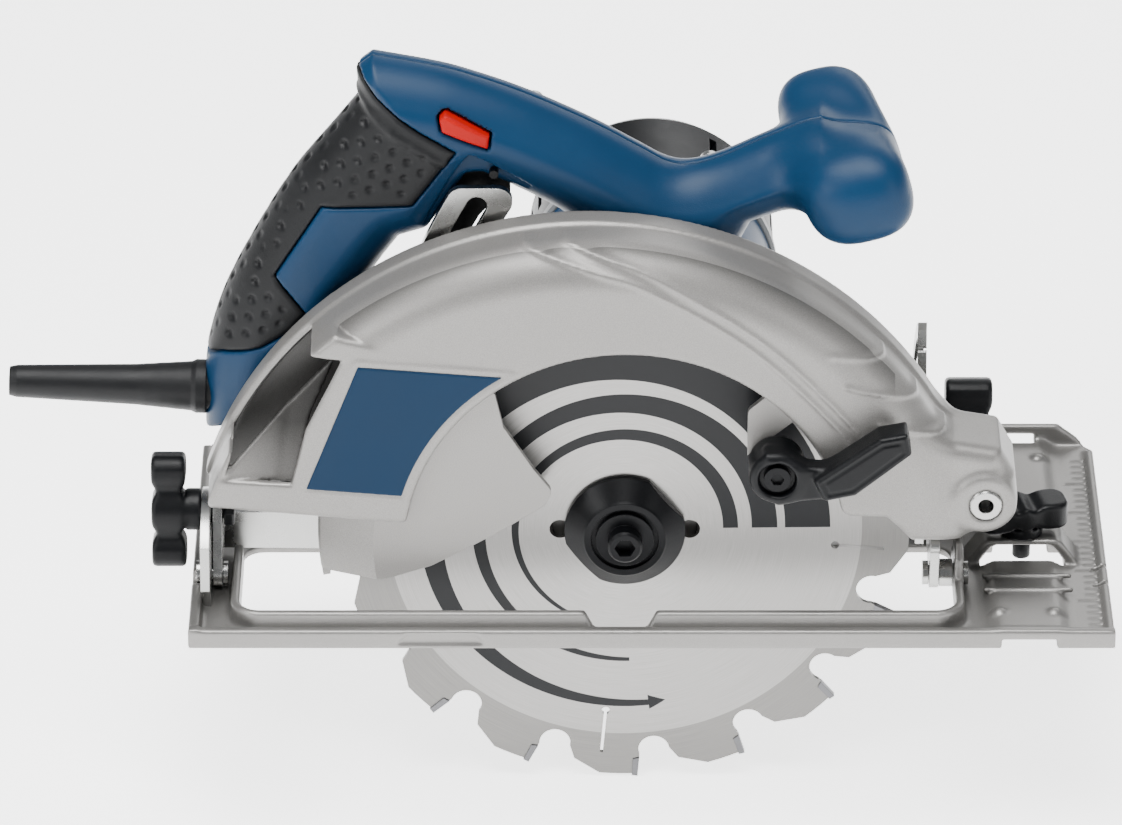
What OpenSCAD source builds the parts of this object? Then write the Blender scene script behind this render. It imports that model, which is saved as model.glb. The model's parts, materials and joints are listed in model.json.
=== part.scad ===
// Corded circular saw for a 190 mm blade, in millimetres.
// +X is the cutting direction, +Y points to the motor side, +Z is up.
// The origin is on the sole, in the blade plane, just in front of the blade opening.
// Most shapes are drawn about the arbor, the point where the blade plane meets the spindle axis.

/* [Blade] */
// Blade diameter over the teeth
blade_d = 190; // [184:1:192]
// Thickness of the blade body
blade_t = 1.6; // [1.2:0.1:2]
// Width of the cut
kerf = 2.4; // [2:0.1:2.6]
// Number of carbide teeth
tooth_count = 16; // [12:2:24]

/* [Cutting] */
// Deepest cut with the base square to the blade
cut_depth = 70; // [68:1:71]
// Height of the bevel axis above the sole
bevel_axis_h = 8; // [7:0.5:9]

/* [Base] */
// Length of the base from its rear edge to its front edge
base_len = 304.6; // [302:0.1:310]
// Width of the base
base_w = 137; // [134:1:140]
// Thickness of the base plate
base_t = 3; // [2.5:0.1:3.2]
// Width of the channel for the parallel fence
fence_w = 18; // [16:0.5:19]
// Height of the channel for the parallel fence
fence_h = 3.3; // [3:0.1:3.6]

/* [Upper guard] */
// Radius of the back of the fixed guard
guard_r = 132.5; // [131:0.5:134]
// Radius of the window in its front face
window_r = 72.5; // [70:0.5:74]
// Wall thickness of the casting
guard_t = 3; // [2.5:0.1:3.2]

/* [Lower guard] */
// Radius over the rim
lower_r = 101.5; // [100:0.5:102]
// Wall thickness
lower_t = 2.4; // [2:0.1:2.6]

/* [Motor] */
// Radius of the motor housing
motor_r = 42; // [41:0.5:43]
// Distance from the blade plane to the end of the motor
motor_end = 163; // [158:1:168]
// Teeth of the spindle gear
gear_teeth = 36; // [36:1:36]
// Teeth of the armature pinion
pinion_teeth = 24; // [24:1:24]

/* [Handle] */
// Width of the handle
handle_w = 34; // [33:0.5:35]
// Distance from the blade plane to the middle of the handle
handle_y = 34; // [33.5:0.5:34.5]

/* [Hidden] */
$fn = 64;
eps = 0.01;
hull_fn = 32;

// Arbor and its height over the sole
blade_r = blade_d / 2;
arbor_x = -116;
arbor_z = blade_r - cut_depth;

// Heights seen from the arbor
sole_z = -arbor_z;
plate_z = sole_z + base_t;
bevel_z = sole_z + bevel_axis_h;

// Running clearances
run_gap = 0.05;

// Blade clamping stack along Y
bore_r = 15;
flange_r = 20;
flange_back = 5.8;
flange_front = -8.3;
bolt_r = 4;
bolt_head_r = 5.75;
bolt_tip = -14.2;
bolt_end = 14;
spindle_r = 6;
spindle_tail_r = 5;

// Fixed guard
guard_x = -12;
guard_z = -22.5;
guard_front = -16;
guard_back = 16;
guard_fillet = 14;
guard_back_t = 4;

// Lower guard
lower_front = -11.5;
lower_back = 9;
lower_flat_r = 83;
lower_from = 40;
lower_to = 190;
lower_split = -0.5;
hub_r = 27;
hub_back = 11.5;

// Spindle housing
snout_r = 24;
snout_front = 6.2;
bearing_r = 16;
bearing_y = [7, 17];
tail_bearing_r = 13;
tail_bearing_y = [41, 49];
gear_y = [24, 36];
case_back = 52;
case_r = 24;

// Motor axis and the gear pair between it and the spindle
motor_x = 10;
motor_z = 33;
gear_distance = norm([motor_x, motor_z]);
gear_module = 2 * gear_distance / (gear_teeth + pinion_teeth);
gear_angle = atan2(motor_z, motor_x);
shaft_r = 5;

// Depth pivot, depth arm and its clamp
pivot_x = 118.4;
pivot_z = 17;
pivot_boss_r = 10;
pin_r = 5.5;
arm_r = 191;
arm_w = 20;
arm_y = [18.5, 21.5];
arm_from = 147.5;
arm_to = 192;
clamp_angle = 186;
clamp_x = pivot_x + arm_r * cos(clamp_angle);
clamp_z = pivot_z + arm_r * sin(clamp_angle);
clamp_bolt_r = 3;

// Base, seen from the arbor
base_rear = -143.6;
base_front = base_rear + base_len;
base_near = -37;
base_far = base_near + base_w;
opening_x = [-127, 109];
opening_y = [-29, 27];
fence_x = 132.75;

// Bevel clamps: distance from the bevel axis and direction at rest
front_clamp_r = 75;
front_clamp_a = 12;
rear_clamp_r = 21.1;
rear_clamp_a = 61.7;
bevel_range = 45;
knob_bolt_r = 3;

// Handle
handle_near = handle_y - handle_w / 2;
handle_far = handle_y + handle_w / 2;

// Colours
guard_silver = [0.75, 0.74, 0.72];
base_silver = [0.63, 0.62, 0.6];
steel = [0.72, 0.73, 0.74];
body_blue = [0.16, 0.36, 0.52];
rubber_black = [0.1, 0.11, 0.12];
plastic_black = [0.14, 0.15, 0.16];
motor_grey = [0.35, 0.37, 0.39];
lock_red = [0.9, 0.16, 0.12];
copper = [0.72, 0.42, 0.22];

// ---------- helpers ----------

// Places children drawn about the arbor
module at_arbor() {
    translate([arbor_x, 0, arbor_z]) children();
}

// Extrudes an outline drawn in X and Z from one Y to another
module slab(y0, y1) {
    translate([0, y1, 0]) rotate([90, 0, 0]) linear_extrude(y1 - y0) children();
}

// Extrudes an outline drawn in Y and Z from one X to another
module plate_x(x0, x1) {
    translate([x0, 0, 0]) rotate([90, 0, 90]) linear_extrude(x1 - x0) children();
}

// Round bar along Y
module rod_y(x, z, y0, y1, r) {
    translate([x, y1, z]) rotate([90, 0, 0]) cylinder(h = y1 - y0, r = r);
}

// Round bar along X
module rod_x(y, z, x0, x1, r) {
    translate([x0, y, z]) rotate([0, 90, 0]) cylinder(h = x1 - x0, r = r);
}

// Turns a profile of [radius, y] points about an axis along Y
module turn_y(x, z, profile) {
    translate([x, 0, z]) rotate([-90, 0, 0]) rotate_extrude() polygon(profile);
}

// Sweeps a profile of [radius, y] points about the arbor, between two angles seen from the front
module sweep_y(from, to, profile) {
    rotate([90, 0, 0]) rotate([0, 0, from]) rotate_extrude(angle = to - from)
        polygon([for (p = profile) [p[0], -p[1]]]);
}

// Points of an arc
function arc(x, y, r, from, to, n = 16) =
    [for (i = [0 : n]) let (a = from + (to - from) * i / n) [x + r * cos(a), y + r * sin(a)]];

// A flat ring sector with square ends
module ring_sector(r0, r1, from, to) {
    polygon(concat(arc(0, 0, r1, from, to, 40), arc(0, 0, r0, to, from, 40)));
}

// A slot of constant width along an arc, with round ends
module arc_slot(r, w, from, to) {
    polygon(concat(
        arc(0, 0, r + w / 2, from, to, 30),
        arc(r * cos(to), r * sin(to), w / 2, to + 15, to + 165, 10),
        arc(0, 0, r - w / 2, to, from, 30),
        arc(r * cos(from), r * sin(from), w / 2, from + 195, from + 345, 10)
    ));
}

// Rounds the corners of an outline
module rounded(r) {
    offset(r = r, $fn = 32) offset(delta = -r) children();
}

// Straight-flanked gear outline
module gear_outline(teeth, gear_mod, bore) {
    pitch = 360 / teeth;
    root = gear_mod * (teeth / 2 - 1.2);
    mean = gear_mod * teeth / 2;
    tip = gear_mod * (teeth / 2 + 0.9);
    difference() {
        polygon([for (i = [0 : teeth - 1], k = [[-0.36, root], [-0.235, mean], [-0.11, tip],
                                                [0.11, tip], [0.235, mean], [0.36, root]])
            let (a = (i + k[0]) * pitch) [k[1] * cos(a), k[1] * sin(a)]]);
        circle(r = bore);
    }
}

// A ball bearing as one ring with a groove in each face
module bearing(x, z, y, r_out, r_in) {
    mid = (r_out + r_in) / 2;
    land = (r_out - r_in) / 5;
    groove = 0.6;
    turn_y(x, z, [
        [r_in, y[0]], [mid - land, y[0]], [mid - land, y[0] + groove], [mid + land, y[0] + groove],
        [mid + land, y[0]], [r_out, y[0]], [r_out, y[1]], [mid + land, y[1]],
        [mid + land, y[1] - groove], [mid - land, y[1] - groove], [mid - land, y[1]], [r_in, y[1]]
    ]);
}

// ---------- fixed guard ----------

// Profile of the guard's back, grown inward by t
function guard_profile(t, front, back) = concat(
    [[0, front]],
    [for (i = [0 : 8]) let (a = -90 + 90 * i / 8)
        [guard_r - guard_fillet + (guard_fillet - t) * cos(a),
         guard_front + guard_fillet + (guard_fillet - t) * sin(a)]],
    [[guard_r - t, back], [0, back]]
);

// Outline of the front of the guard
module guard_side() {
    polygon([[-150, 16.9], [-75.3, 10.3], [-71.8, 10.1], [-60, 0], [60, 0], [71.2, 13.8], [74, 12.6],
             [85.6, 12.3], [94.5, 4.2], [110, 4.2], [114, 8], [140, 8], [140, 120], [-150, 120]]);
    translate([pivot_x, pivot_z]) circle(r = pivot_boss_r);
}

// Lower edge of the rear wall, with the lug of the depth clamp
module guard_back_side() {
    guard_side();
    polygon([[-82, 12], [-80, -10], [-76, -12], [-60, -12], [-54, -8], [-40, -20], [0, -24],
             [40, -20], [80, 6], [86, 14]]);
}

// Triangular chip outlet in the rear of the front face
outlet_back = -5;
module outlet_outline() {
    rounded(2) polygon([[-105.5, 72], [-92.5, 70], [-105, 44], [-109.5, 25], [-129, 26],
                        [-124, 46], [-113, 64.5]]);
}

module fixed_guard() {
    color(guard_silver) at_arbor() difference() {
        union() {
            intersection() {
                turn_y(guard_x, guard_z, guard_profile(0, guard_front, guard_back));
                union() {
                    slab(guard_front - 1, guard_back - guard_back_t) guard_side();
                    slab(guard_back - guard_back_t, guard_back) guard_back_side();
                }
            }
            // Boss of the depth pivot and the nose that carries it
            rod_y(pivot_x, pivot_z, guard_front, guard_back + 1, pivot_boss_r);
            slab(guard_front + 3, guard_back) polygon([[96, 4.2], [112, 7], [126, 22], [106, 46], [96, 40]]);
            // Collar round the front of the casting
            slab(guard_front + 1, guard_back) intersection() {
                translate([guard_x, guard_z]) ring_sector(guard_r - 8, guard_r + 1.4, 24, 30);
                guard_side();
            }
        }
        // Space for the blade and the lower guard
        intersection() {
            turn_y(guard_x, guard_z, guard_profile(guard_t, guard_front + guard_t,
                                                   guard_back - guard_back_t));
            slab(guard_front, guard_back) difference() {
                polygon([[-150, -30], [92, -30], [93, 14], [106, 40], [106, 120], [-150, 120]]);
                translate([pivot_x, pivot_z]) circle(r = pivot_boss_r + 5);
            }
        }
        slab(-3.5, 3.5) circle(r = blade_r + 1.5, $fn = 128);
        // Window in the front face
        slab(guard_front - 1, guard_front + guard_t + eps) circle(r = window_r, $fn = 128);
        slab(guard_front - 1, outlet_back) outlet_outline();
        // Bore of the depth pivot, hole for the spindle housing and for the depth clamp
        rod_y(pivot_x, pivot_z, guard_front - 1, guard_back + 2, pin_r + run_gap);
        rod_y(0, 0, guard_front, guard_back + 1, snout_r + run_gap);
        rod_y(clamp_x, clamp_z, guard_front, guard_back + 1, clamp_bolt_r + run_gap);
        for (p = guard_screw_spots) rod_y(p[0], p[1], guard_front, guard_back + 1, 2.1);
    }
}

// Screws that hold the guard to the gear case
guard_screw_spots = [[-21, 35], [36, 16], [30, 50], [-10, 54]];

module guard_screws() {
    color(steel) at_arbor() for (p = guard_screw_spots) difference() {
        union() {
            rod_y(p[0], p[1], 9.4, 12, 4);
            rod_y(p[0], p[1], 12 - eps, 28, 2);
        }
        slab(9, 10.8) translate(p) circle(r = 2, $fn = 6);
    }
}

// Area of the label panel, between the outlet, the window and the lower edge
module panel_outline(inset = 0) {
    offset(delta = -inset) difference() {
        polygon([[-88, 69.4], [-38, 65.4], [-50, 30], [-72, 20], [-105.6, 22.8]]);
        circle(r = window_r + 3.8, $fn = 128);
    }
}

module guard_label_panel() {
    color(body_blue) at_arbor() slab(guard_front - 0.5, guard_front) rounded(1) panel_outline(1);
}

// ---------- gear case and spindle ----------

module case_outline(grow = 0) {
    circle(r = case_r + grow);
    translate([motor_x, motor_z]) circle(r = 37.5 + grow);
}

module gear_case() {
    color(guard_silver) at_arbor() difference() {
        union() {
            slab(guard_back, case_back) intersection() {
                case_outline();
                translate([-60, sole_z + 1.5]) square([120, 120]);
            }
            rod_y(0, 0, snout_front, guard_back + eps, snout_r);
        }
        // Bearing seats
        rod_y(0, 0, bearing_y[0], bearing_y[1], bearing_r);
        rod_y(0, 0, snout_front - 1, bearing_y[0] + eps, bearing_r - 3);
        rod_y(0, 0, bearing_y[1] - eps, gear_y[0] - 2, spindle_r + 2);
        rod_y(0, 0, gear_y[1] + 2 - eps, tail_bearing_y[1], tail_bearing_r);
        rod_y(motor_x, motor_z, gear_y[1] + 2 - eps, case_back + 1, tail_bearing_r);
        // Gear chamber
        slab(gear_y[0] - 2, gear_y[1] + 2) {
            circle(r = gear_module * (gear_teeth / 2 + 1.3));
            translate([motor_x, motor_z]) circle(r = gear_module * (pinion_teeth / 2 + 1.3));
        }
        for (p = guard_screw_spots) rod_y(p[0], p[1], guard_back - 1, 29, 2.05);
        for (p = case_screw_spots) rod_y(p[0], p[1], case_back - 14, case_back + 1, 2.05);
        // Guide of the spindle lock
        rod_y(lock_x, lock_z, gear_y[1], case_back + 1, lock_r + run_gap);
    }
}

case_screw_spots = [for (a = [20, 160, 95]) [motor_x + 32 * cos(a), motor_z + 32 * sin(a)]];

module gear_case_screws() {
    color(steel) at_arbor() for (p = case_screw_spots) rod_y(p[0], p[1], case_back - 13, case_back, 2);
}

// Spindle lock: a pin behind the spindle gear, pressed forward from the gear case
lock_x = 0;
lock_z = -15.5;
lock_r = 2.5;
lock_travel = 1.6;

module spindle_lock_button() {
    color(rubber_black) at_arbor() {
        rod_y(lock_x, lock_z, gear_y[1] + lock_travel + 0.4, case_back + 2, lock_r);
        rod_y(lock_x, lock_z, case_back + 2, case_back + 6, 5.5);
    }
}

module spindle() {
    color(steel) at_arbor() difference() {
        union() {
            rod_y(0, 0, -0.6, tail_bearing_y[0] - 1, spindle_r);
            rod_y(0, 0, tail_bearing_y[0] - 1 - eps, tail_bearing_y[1] - 0.5, spindle_tail_r);
        }
        rod_y(0, 0, -1, bolt_end + 1, bolt_r + run_gap);
    }
}

module spindle_gear() {
    color(steel) at_arbor() slab(gear_y[0], gear_y[1])
        rotate(gear_angle) gear_outline(gear_teeth, gear_module, spindle_r);
}

module spindle_front_bearing() {
    color(steel) at_arbor() bearing(0, 0, bearing_y, bearing_r, spindle_r + run_gap);
}

module spindle_rear_bearing() {
    color(steel) at_arbor() bearing(0, 0, tail_bearing_y, tail_bearing_r, spindle_tail_r + run_gap);
}

module inner_flange() {
    color(plastic_black) at_arbor() turn_y(0, 0, [
        [spindle_r, -blade_t / 2 + 0.1], [bore_r - 0.05, -blade_t / 2 + 0.1],
        [bore_r - 0.05, blade_t / 2], [flange_r, blade_t / 2], [flange_r, 4],
        [12, flange_back], [spindle_r + 3, 6.6], [spindle_r, 6.6]
    ]);
}

// ---------- blade ----------

tooth_step = 360 / tooth_count;
tooth_phase = 160.65;
gullet_r = 5.2;
body_r = blade_r - 0.8;
tip_len = 6.5;

// One tooth of the blade body: a gullet ahead of the tip and a sloping back behind it
module tooth_gap(a) {
    rotate(a) {
        translate([body_r - 9, 5.4]) circle(r = gullet_r);
        polygon([[body_r - 9, 0.74], [body_r + 4, -1.12], [body_r + 5, 28], [body_r - 2, 27],
                 [body_r - 5.5, 13.5], [body_r - 9.5, 10.6]]);
    }
}

module blade_outline() {
    difference() {
        circle(r = body_r, $fn = 128);
        circle(r = bore_r);
        for (i = [0 : tooth_count - 1]) tooth_gap(tooth_phase + i * tooth_step);
        tip_outlines();
        // Pin holes
        for (x = [-21.5, 21.5]) translate([x, 0]) circle(r = 3.4);
        // Expansion slots
        for (a = [-95, -5, 85, 175]) rotate(a) {
            translate([70, 0]) circle(r = 1.4);
            translate([70, -0.5]) square([body_r - 78, 1]);
        }
    }
}

module saw_blade() {
    color(steel) at_arbor() slab(-blade_t / 2, blade_t / 2) blade_outline();
}

// Carbide tips brazed on the leading face of each tooth
module tip_outlines() {
    for (i = [0 : tooth_count - 1]) rotate(tooth_phase + i * tooth_step)
        polygon([[blade_r - tip_len - 0.5, 0.4], [blade_r, -0.6], [blade_r - 0.35, -2.5],
                 [blade_r - tip_len, -1.8]]);
}

module carbide_teeth() {
    color([0.55, 0.55, 0.56]) at_arbor() slab(-kerf / 2, kerf / 2) tip_outlines();
}

module outer_flange() {
    color(plastic_black) at_arbor() difference() {
        intersection() {
            turn_y(0, 0, [
                [bolt_r + 0.2, flange_front], [13.4, flange_front], [14, flange_front + 0.6],
                [flange_r, -2.5], [flange_r, -blade_t / 2], [bolt_r + 0.2, -blade_t / 2]
            ]);
            slab(flange_front - 1, 0) rotate(40) square([2 * 18, 3 * flange_r], center = true);
        }
        // Recess under the bolt head
        rod_y(0, 0, flange_front - 1, flange_front + 1.6, 11.2);
    }
}

module blade_bolt() {
    color(plastic_black) at_arbor() difference() {
        union() {
            rod_y(0, 0, flange_front + 1.6, bolt_end, bolt_r);
            rod_y(0, 0, flange_front - 0.4, flange_front + 1.6, 9.6);
            turn_y(0, 0, [[0, bolt_tip], [bolt_head_r - 0.8, bolt_tip], [bolt_head_r, bolt_tip + 0.8],
                          [bolt_head_r, flange_front], [0, flange_front]]);
        }
        slab(bolt_tip - 1, bolt_tip + 4) circle(r = 3.46, $fn = 6);
    }
}

// ---------- lower guard ----------

// Outline of the visible front plate: a swept band with a rounded corner near the hub
module lower_front_outline() {
    difference() {
        rounded(3) polygon(concat(
            [[-24, 20], [-26, 15], [-41, 5], [-54, -2.5], [-64, -8], [-79, -13]],
            arc(0, 0, lower_r + 1, 188, lower_from, 40),
            [[60, 54], [60, 24], [54, 21], [44, 21], [40, 26], [40, 50]],
            arc(0, 0, 74, 50, 126, 16),
            [[-43.5, 60], [-40, 44], [-30, 28]]
        ));
        circle(r = snout_r + 1.5);
    }
}

module lower_guard() {
    color(guard_silver) at_arbor() difference() {
        union() {
            // Front plate with its sloping shoulder, rim and back plate
            intersection() {
                sweep_y(lower_from, lower_to, [
                    [snout_r, lower_front], [lower_flat_r, lower_front], [lower_r - 0.8, -2.6],
                    [lower_r, -1.6], [lower_r, lower_split], [lower_r - lower_t, lower_split],
                    [lower_r - lower_t, -1], [lower_flat_r - 1, lower_front + lower_t],
                    [snout_r, lower_front + lower_t]
                ]);
                slab(lower_front - 1, 2) lower_front_outline();
            }
            sweep_y(lower_from, lower_to, [
                [lower_r - lower_t, lower_split], [lower_r, lower_split], [lower_r, lower_back],
                [snout_r + 1, lower_back], [snout_r + 1, lower_back - lower_t],
                [lower_r - lower_t, lower_back - lower_t]
            ]);
            // Lip at the lower end, behind the blade
            slab(3, lower_back - 1) rotate(lower_to) translate([snout_r + 44, -2.2]) square([30.5, 2.2]);
            // Hub ring on the spindle housing
            turn_y(0, 0, [[snout_r - 1, lower_back - lower_t], [hub_r, lower_back - lower_t],
                          [hub_r, hub_back], [snout_r - 1, hub_back]]);
        }
        rod_y(0, 0, 0, guard_back, snout_r + run_gap);
        rod_y(lever_x, lever_z, guard_front, 0, 2.1);
    }
}

// Lever that opens the lower guard
lever_x = 49.5;
lever_z = 32.6;
lever_y = [-30, -19];

module guard_lever() {
    color(rubber_black) at_arbor() difference() {
        union() {
            rod_y(lever_x, lever_z, lever_y[0] + 3, lower_front, 8.5);
            slab(lever_y[0] + 3, lever_y[1]) rounded(1.5)
                polygon([[47, 40.6], [55, 36], [64, 35.5], [72, 36], [72, 25], [60, 26], [50, 24.2]]);
            slab(lever_y[0], lever_y[1]) rounded(2)
                polygon([[62.5, 35], [84, 49.5], [92, 51], [93, 43], [74, 28], [66, 26.5]]);
        }
        rod_y(lever_x, lever_z, lever_y[0], lower_front + 1, 2.1);
        rod_y(lever_x, lever_z, lever_y[0], lever_y[0] + 6, 5);
    }
}

module guard_lever_screw() {
    color(steel) at_arbor() difference() {
        union() {
            rod_y(lever_x, lever_z, lever_y[0] + 3.4, lever_y[0] + 6, 4.4);
            rod_y(lever_x, lever_z, lever_y[0] + 6 - eps, lower_front + lower_t, 2);
        }
        slab(lever_y[0], lever_y[0] + 4.8) translate([lever_x, lever_z]) circle(r = 2.2, $fn = 6);
    }
}

// Flat spiral spring that closes the lower guard
module lower_guard_spring() {
    turns = 2.6;
    steps = 70;
    inner = hub_r + 0.8;
    pitch = 2.1;
    color(steel) at_arbor() slab(lower_back + 0.5, hub_back - 0.1) polygon(concat(
        [for (i = [0 : steps]) let (a = 360 * turns * i / steps)
            (inner + pitch * a / 360) * [cos(a), sin(a)]],
        [for (i = [steps : -1 : 0]) let (a = 360 * turns * i / steps)
            (inner + 0.9 + pitch * a / 360) * [cos(a), sin(a)]]
    ));
}

// Ring in front of the hub that keeps the lower guard on the spindle housing
module guard_retaining_ring() {
    color(steel) at_arbor() turn_y(0, 0, [
        [snout_r, lower_back - lower_t - 0.3 - 1.2], [hub_r + 0.5, lower_back - lower_t - 1.5],
        [hub_r + 0.5, lower_back - lower_t - 0.3], [snout_r, lower_back - lower_t - 0.3]
    ]);
}

// ---------- depth and bevel adjustment ----------

// Slotted arc that sets the cutting depth
module depth_arm() {
    color(steel) at_arbor() slab(arm_y[0], arm_y[1]) translate([pivot_x, pivot_z]) difference() {
        rounded(5) difference() {
            ring_sector(arm_r - arm_w / 2, arm_r + arm_w / 2, arm_from, arm_to);
            translate([-200, 99.2]) square([200, 40]);
        }
        arc_slot(arm_r, 2 * clamp_bolt_r + 1, arm_from + 3.5, clamp_angle + 0.6);
    }
}

// Strap from the foot of the depth arm to the rear bevel pivot
module rear_bracket() {
    ear_x = [-136.4, -133.4];
    color(steel) at_arbor() difference() {
        union() {
            slab(arm_y[1], arm_y[1] + 2.5) rounded(1.5)
                polygon([[ear_x[0], -19.5], [-54, -20.5], [-54, -13], [-84, -13], [-92, -6],
                         [ear_x[0], -6]]);
            // Folded ear against the rear quadrant
            plate_x(ear_x[0], ear_x[1]) {
                hull() {
                    translate([0, bevel_z]) circle(r = 4.6, $fn = hull_fn);
                    translate(clamp_spot(rear_clamp_r, rear_clamp_a)) circle(r = 7, $fn = hull_fn);
                    translate([20, -10]) square([4, 4]);
                }
            }
        }
        rod_x(0, bevel_z, ear_x[0] - 1, ear_x[1] + 1, 2.55);
        rod_x(clamp_spot(rear_clamp_r, rear_clamp_a)[0], clamp_spot(rear_clamp_r, rear_clamp_a)[1],
              ear_x[0] - 1, ear_x[1] + 1, knob_bolt_r + run_gap);
    }
}

// Place of a clamp bolt in Y and Z
function clamp_spot(r, a) = [r * cos(a), bevel_z + r * sin(a)];

// Bracket that carries the depth pivot and the front bevel clamp
module front_bracket() {
    plate = [101, 104];
    color(steel) at_arbor() difference() {
        union() {
            plate_x(plate[0], plate[1]) {
                hull() {
                    translate([0, bevel_z]) circle(r = 5, $fn = hull_fn);
                    translate([-5, -4]) circle(r = 4, $fn = hull_fn);
                    translate([26, -4]) circle(r = 10, $fn = hull_fn);
                }
                hull() {
                    translate([26, -6]) circle(r = 10, $fn = hull_fn);
                    translate(clamp_spot(front_clamp_r, front_clamp_a)) circle(r = 9, $fn = hull_fn);
                }
            }
            // Ear beside the guard that holds the pivot pin
            slab(guard_back + 1.5, guard_back + 5) hull() {
                translate([pivot_x, pivot_z]) circle(r = 9, $fn = hull_fn);
                translate([plate[0], -12]) square([3, 16]);
            }
        }
        rod_y(pivot_x, pivot_z, guard_back, guard_back + 6, pin_r);
        rod_x(0, bevel_z, plate[0] - 1, plate[1] + 1, 2.55);
        rod_x(clamp_spot(front_clamp_r, front_clamp_a)[0], clamp_spot(front_clamp_r, front_clamp_a)[1],
              plate[0] - 1, plate[1] + 1, knob_bolt_r + run_gap);
    }
}

// Hollow pin on which the saw tilts for the cutting depth
module depth_pivot_pin() {
    color(steel) at_arbor() turn_y(pivot_x, pivot_z, [
        [2.6, guard_front - 0.3], [pin_r - 0.6, guard_front - 0.3], [pin_r, guard_front + 0.3],
        [pin_r, guard_back + 5], [8.5, guard_back + 5], [8.5, guard_back + 7],
        [2.6, guard_back + 7]
    ]);
}

module depth_clamp_bolt() {
    color(steel) at_arbor() {
        rod_y(clamp_x, clamp_z, guard_back - guard_back_t - 2.5, guard_back - guard_back_t, 5.5);
        rod_y(clamp_x, clamp_z, guard_back - guard_back_t - eps, 33, clamp_bolt_r);
        turn_y(clamp_x, clamp_z, [[clamp_bolt_r - eps, guard_back], [6.5, guard_back],
            [6.5, arm_y[0] - 0.4], [clamp_bolt_r - eps, arm_y[0] - 0.4]]);
    }
}

module depth_clamp_lever() {
    color(plastic_black) at_arbor() difference() {
        union() {
            rod_y(clamp_x, clamp_z, arm_y[1] + 0.4, 32, 8);
            slab(25.5, 31) hull() {
                translate([clamp_x, clamp_z]) circle(r = 6, $fn = hull_fn);
                translate([clamp_x - 40, clamp_z + 1]) circle(r = 4.5, $fn = hull_fn);
            }
        }
        rod_y(clamp_x, clamp_z, arm_y[0], 34, clamp_bolt_r + run_gap);
    }
}

// ---------- base ----------

rim_h = 6.6;
rim_w = 3.7;
inner_rim_h = 10.6;
band_top = sole_z + fence_h + 2.7;

module opening_outline() {
    rounded(7) polygon([[opening_x[0], opening_y[0]], [opening_x[1], opening_y[0]],
                        [opening_x[1], opening_y[1]], [opening_x[0], opening_y[1]]]);
}

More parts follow.
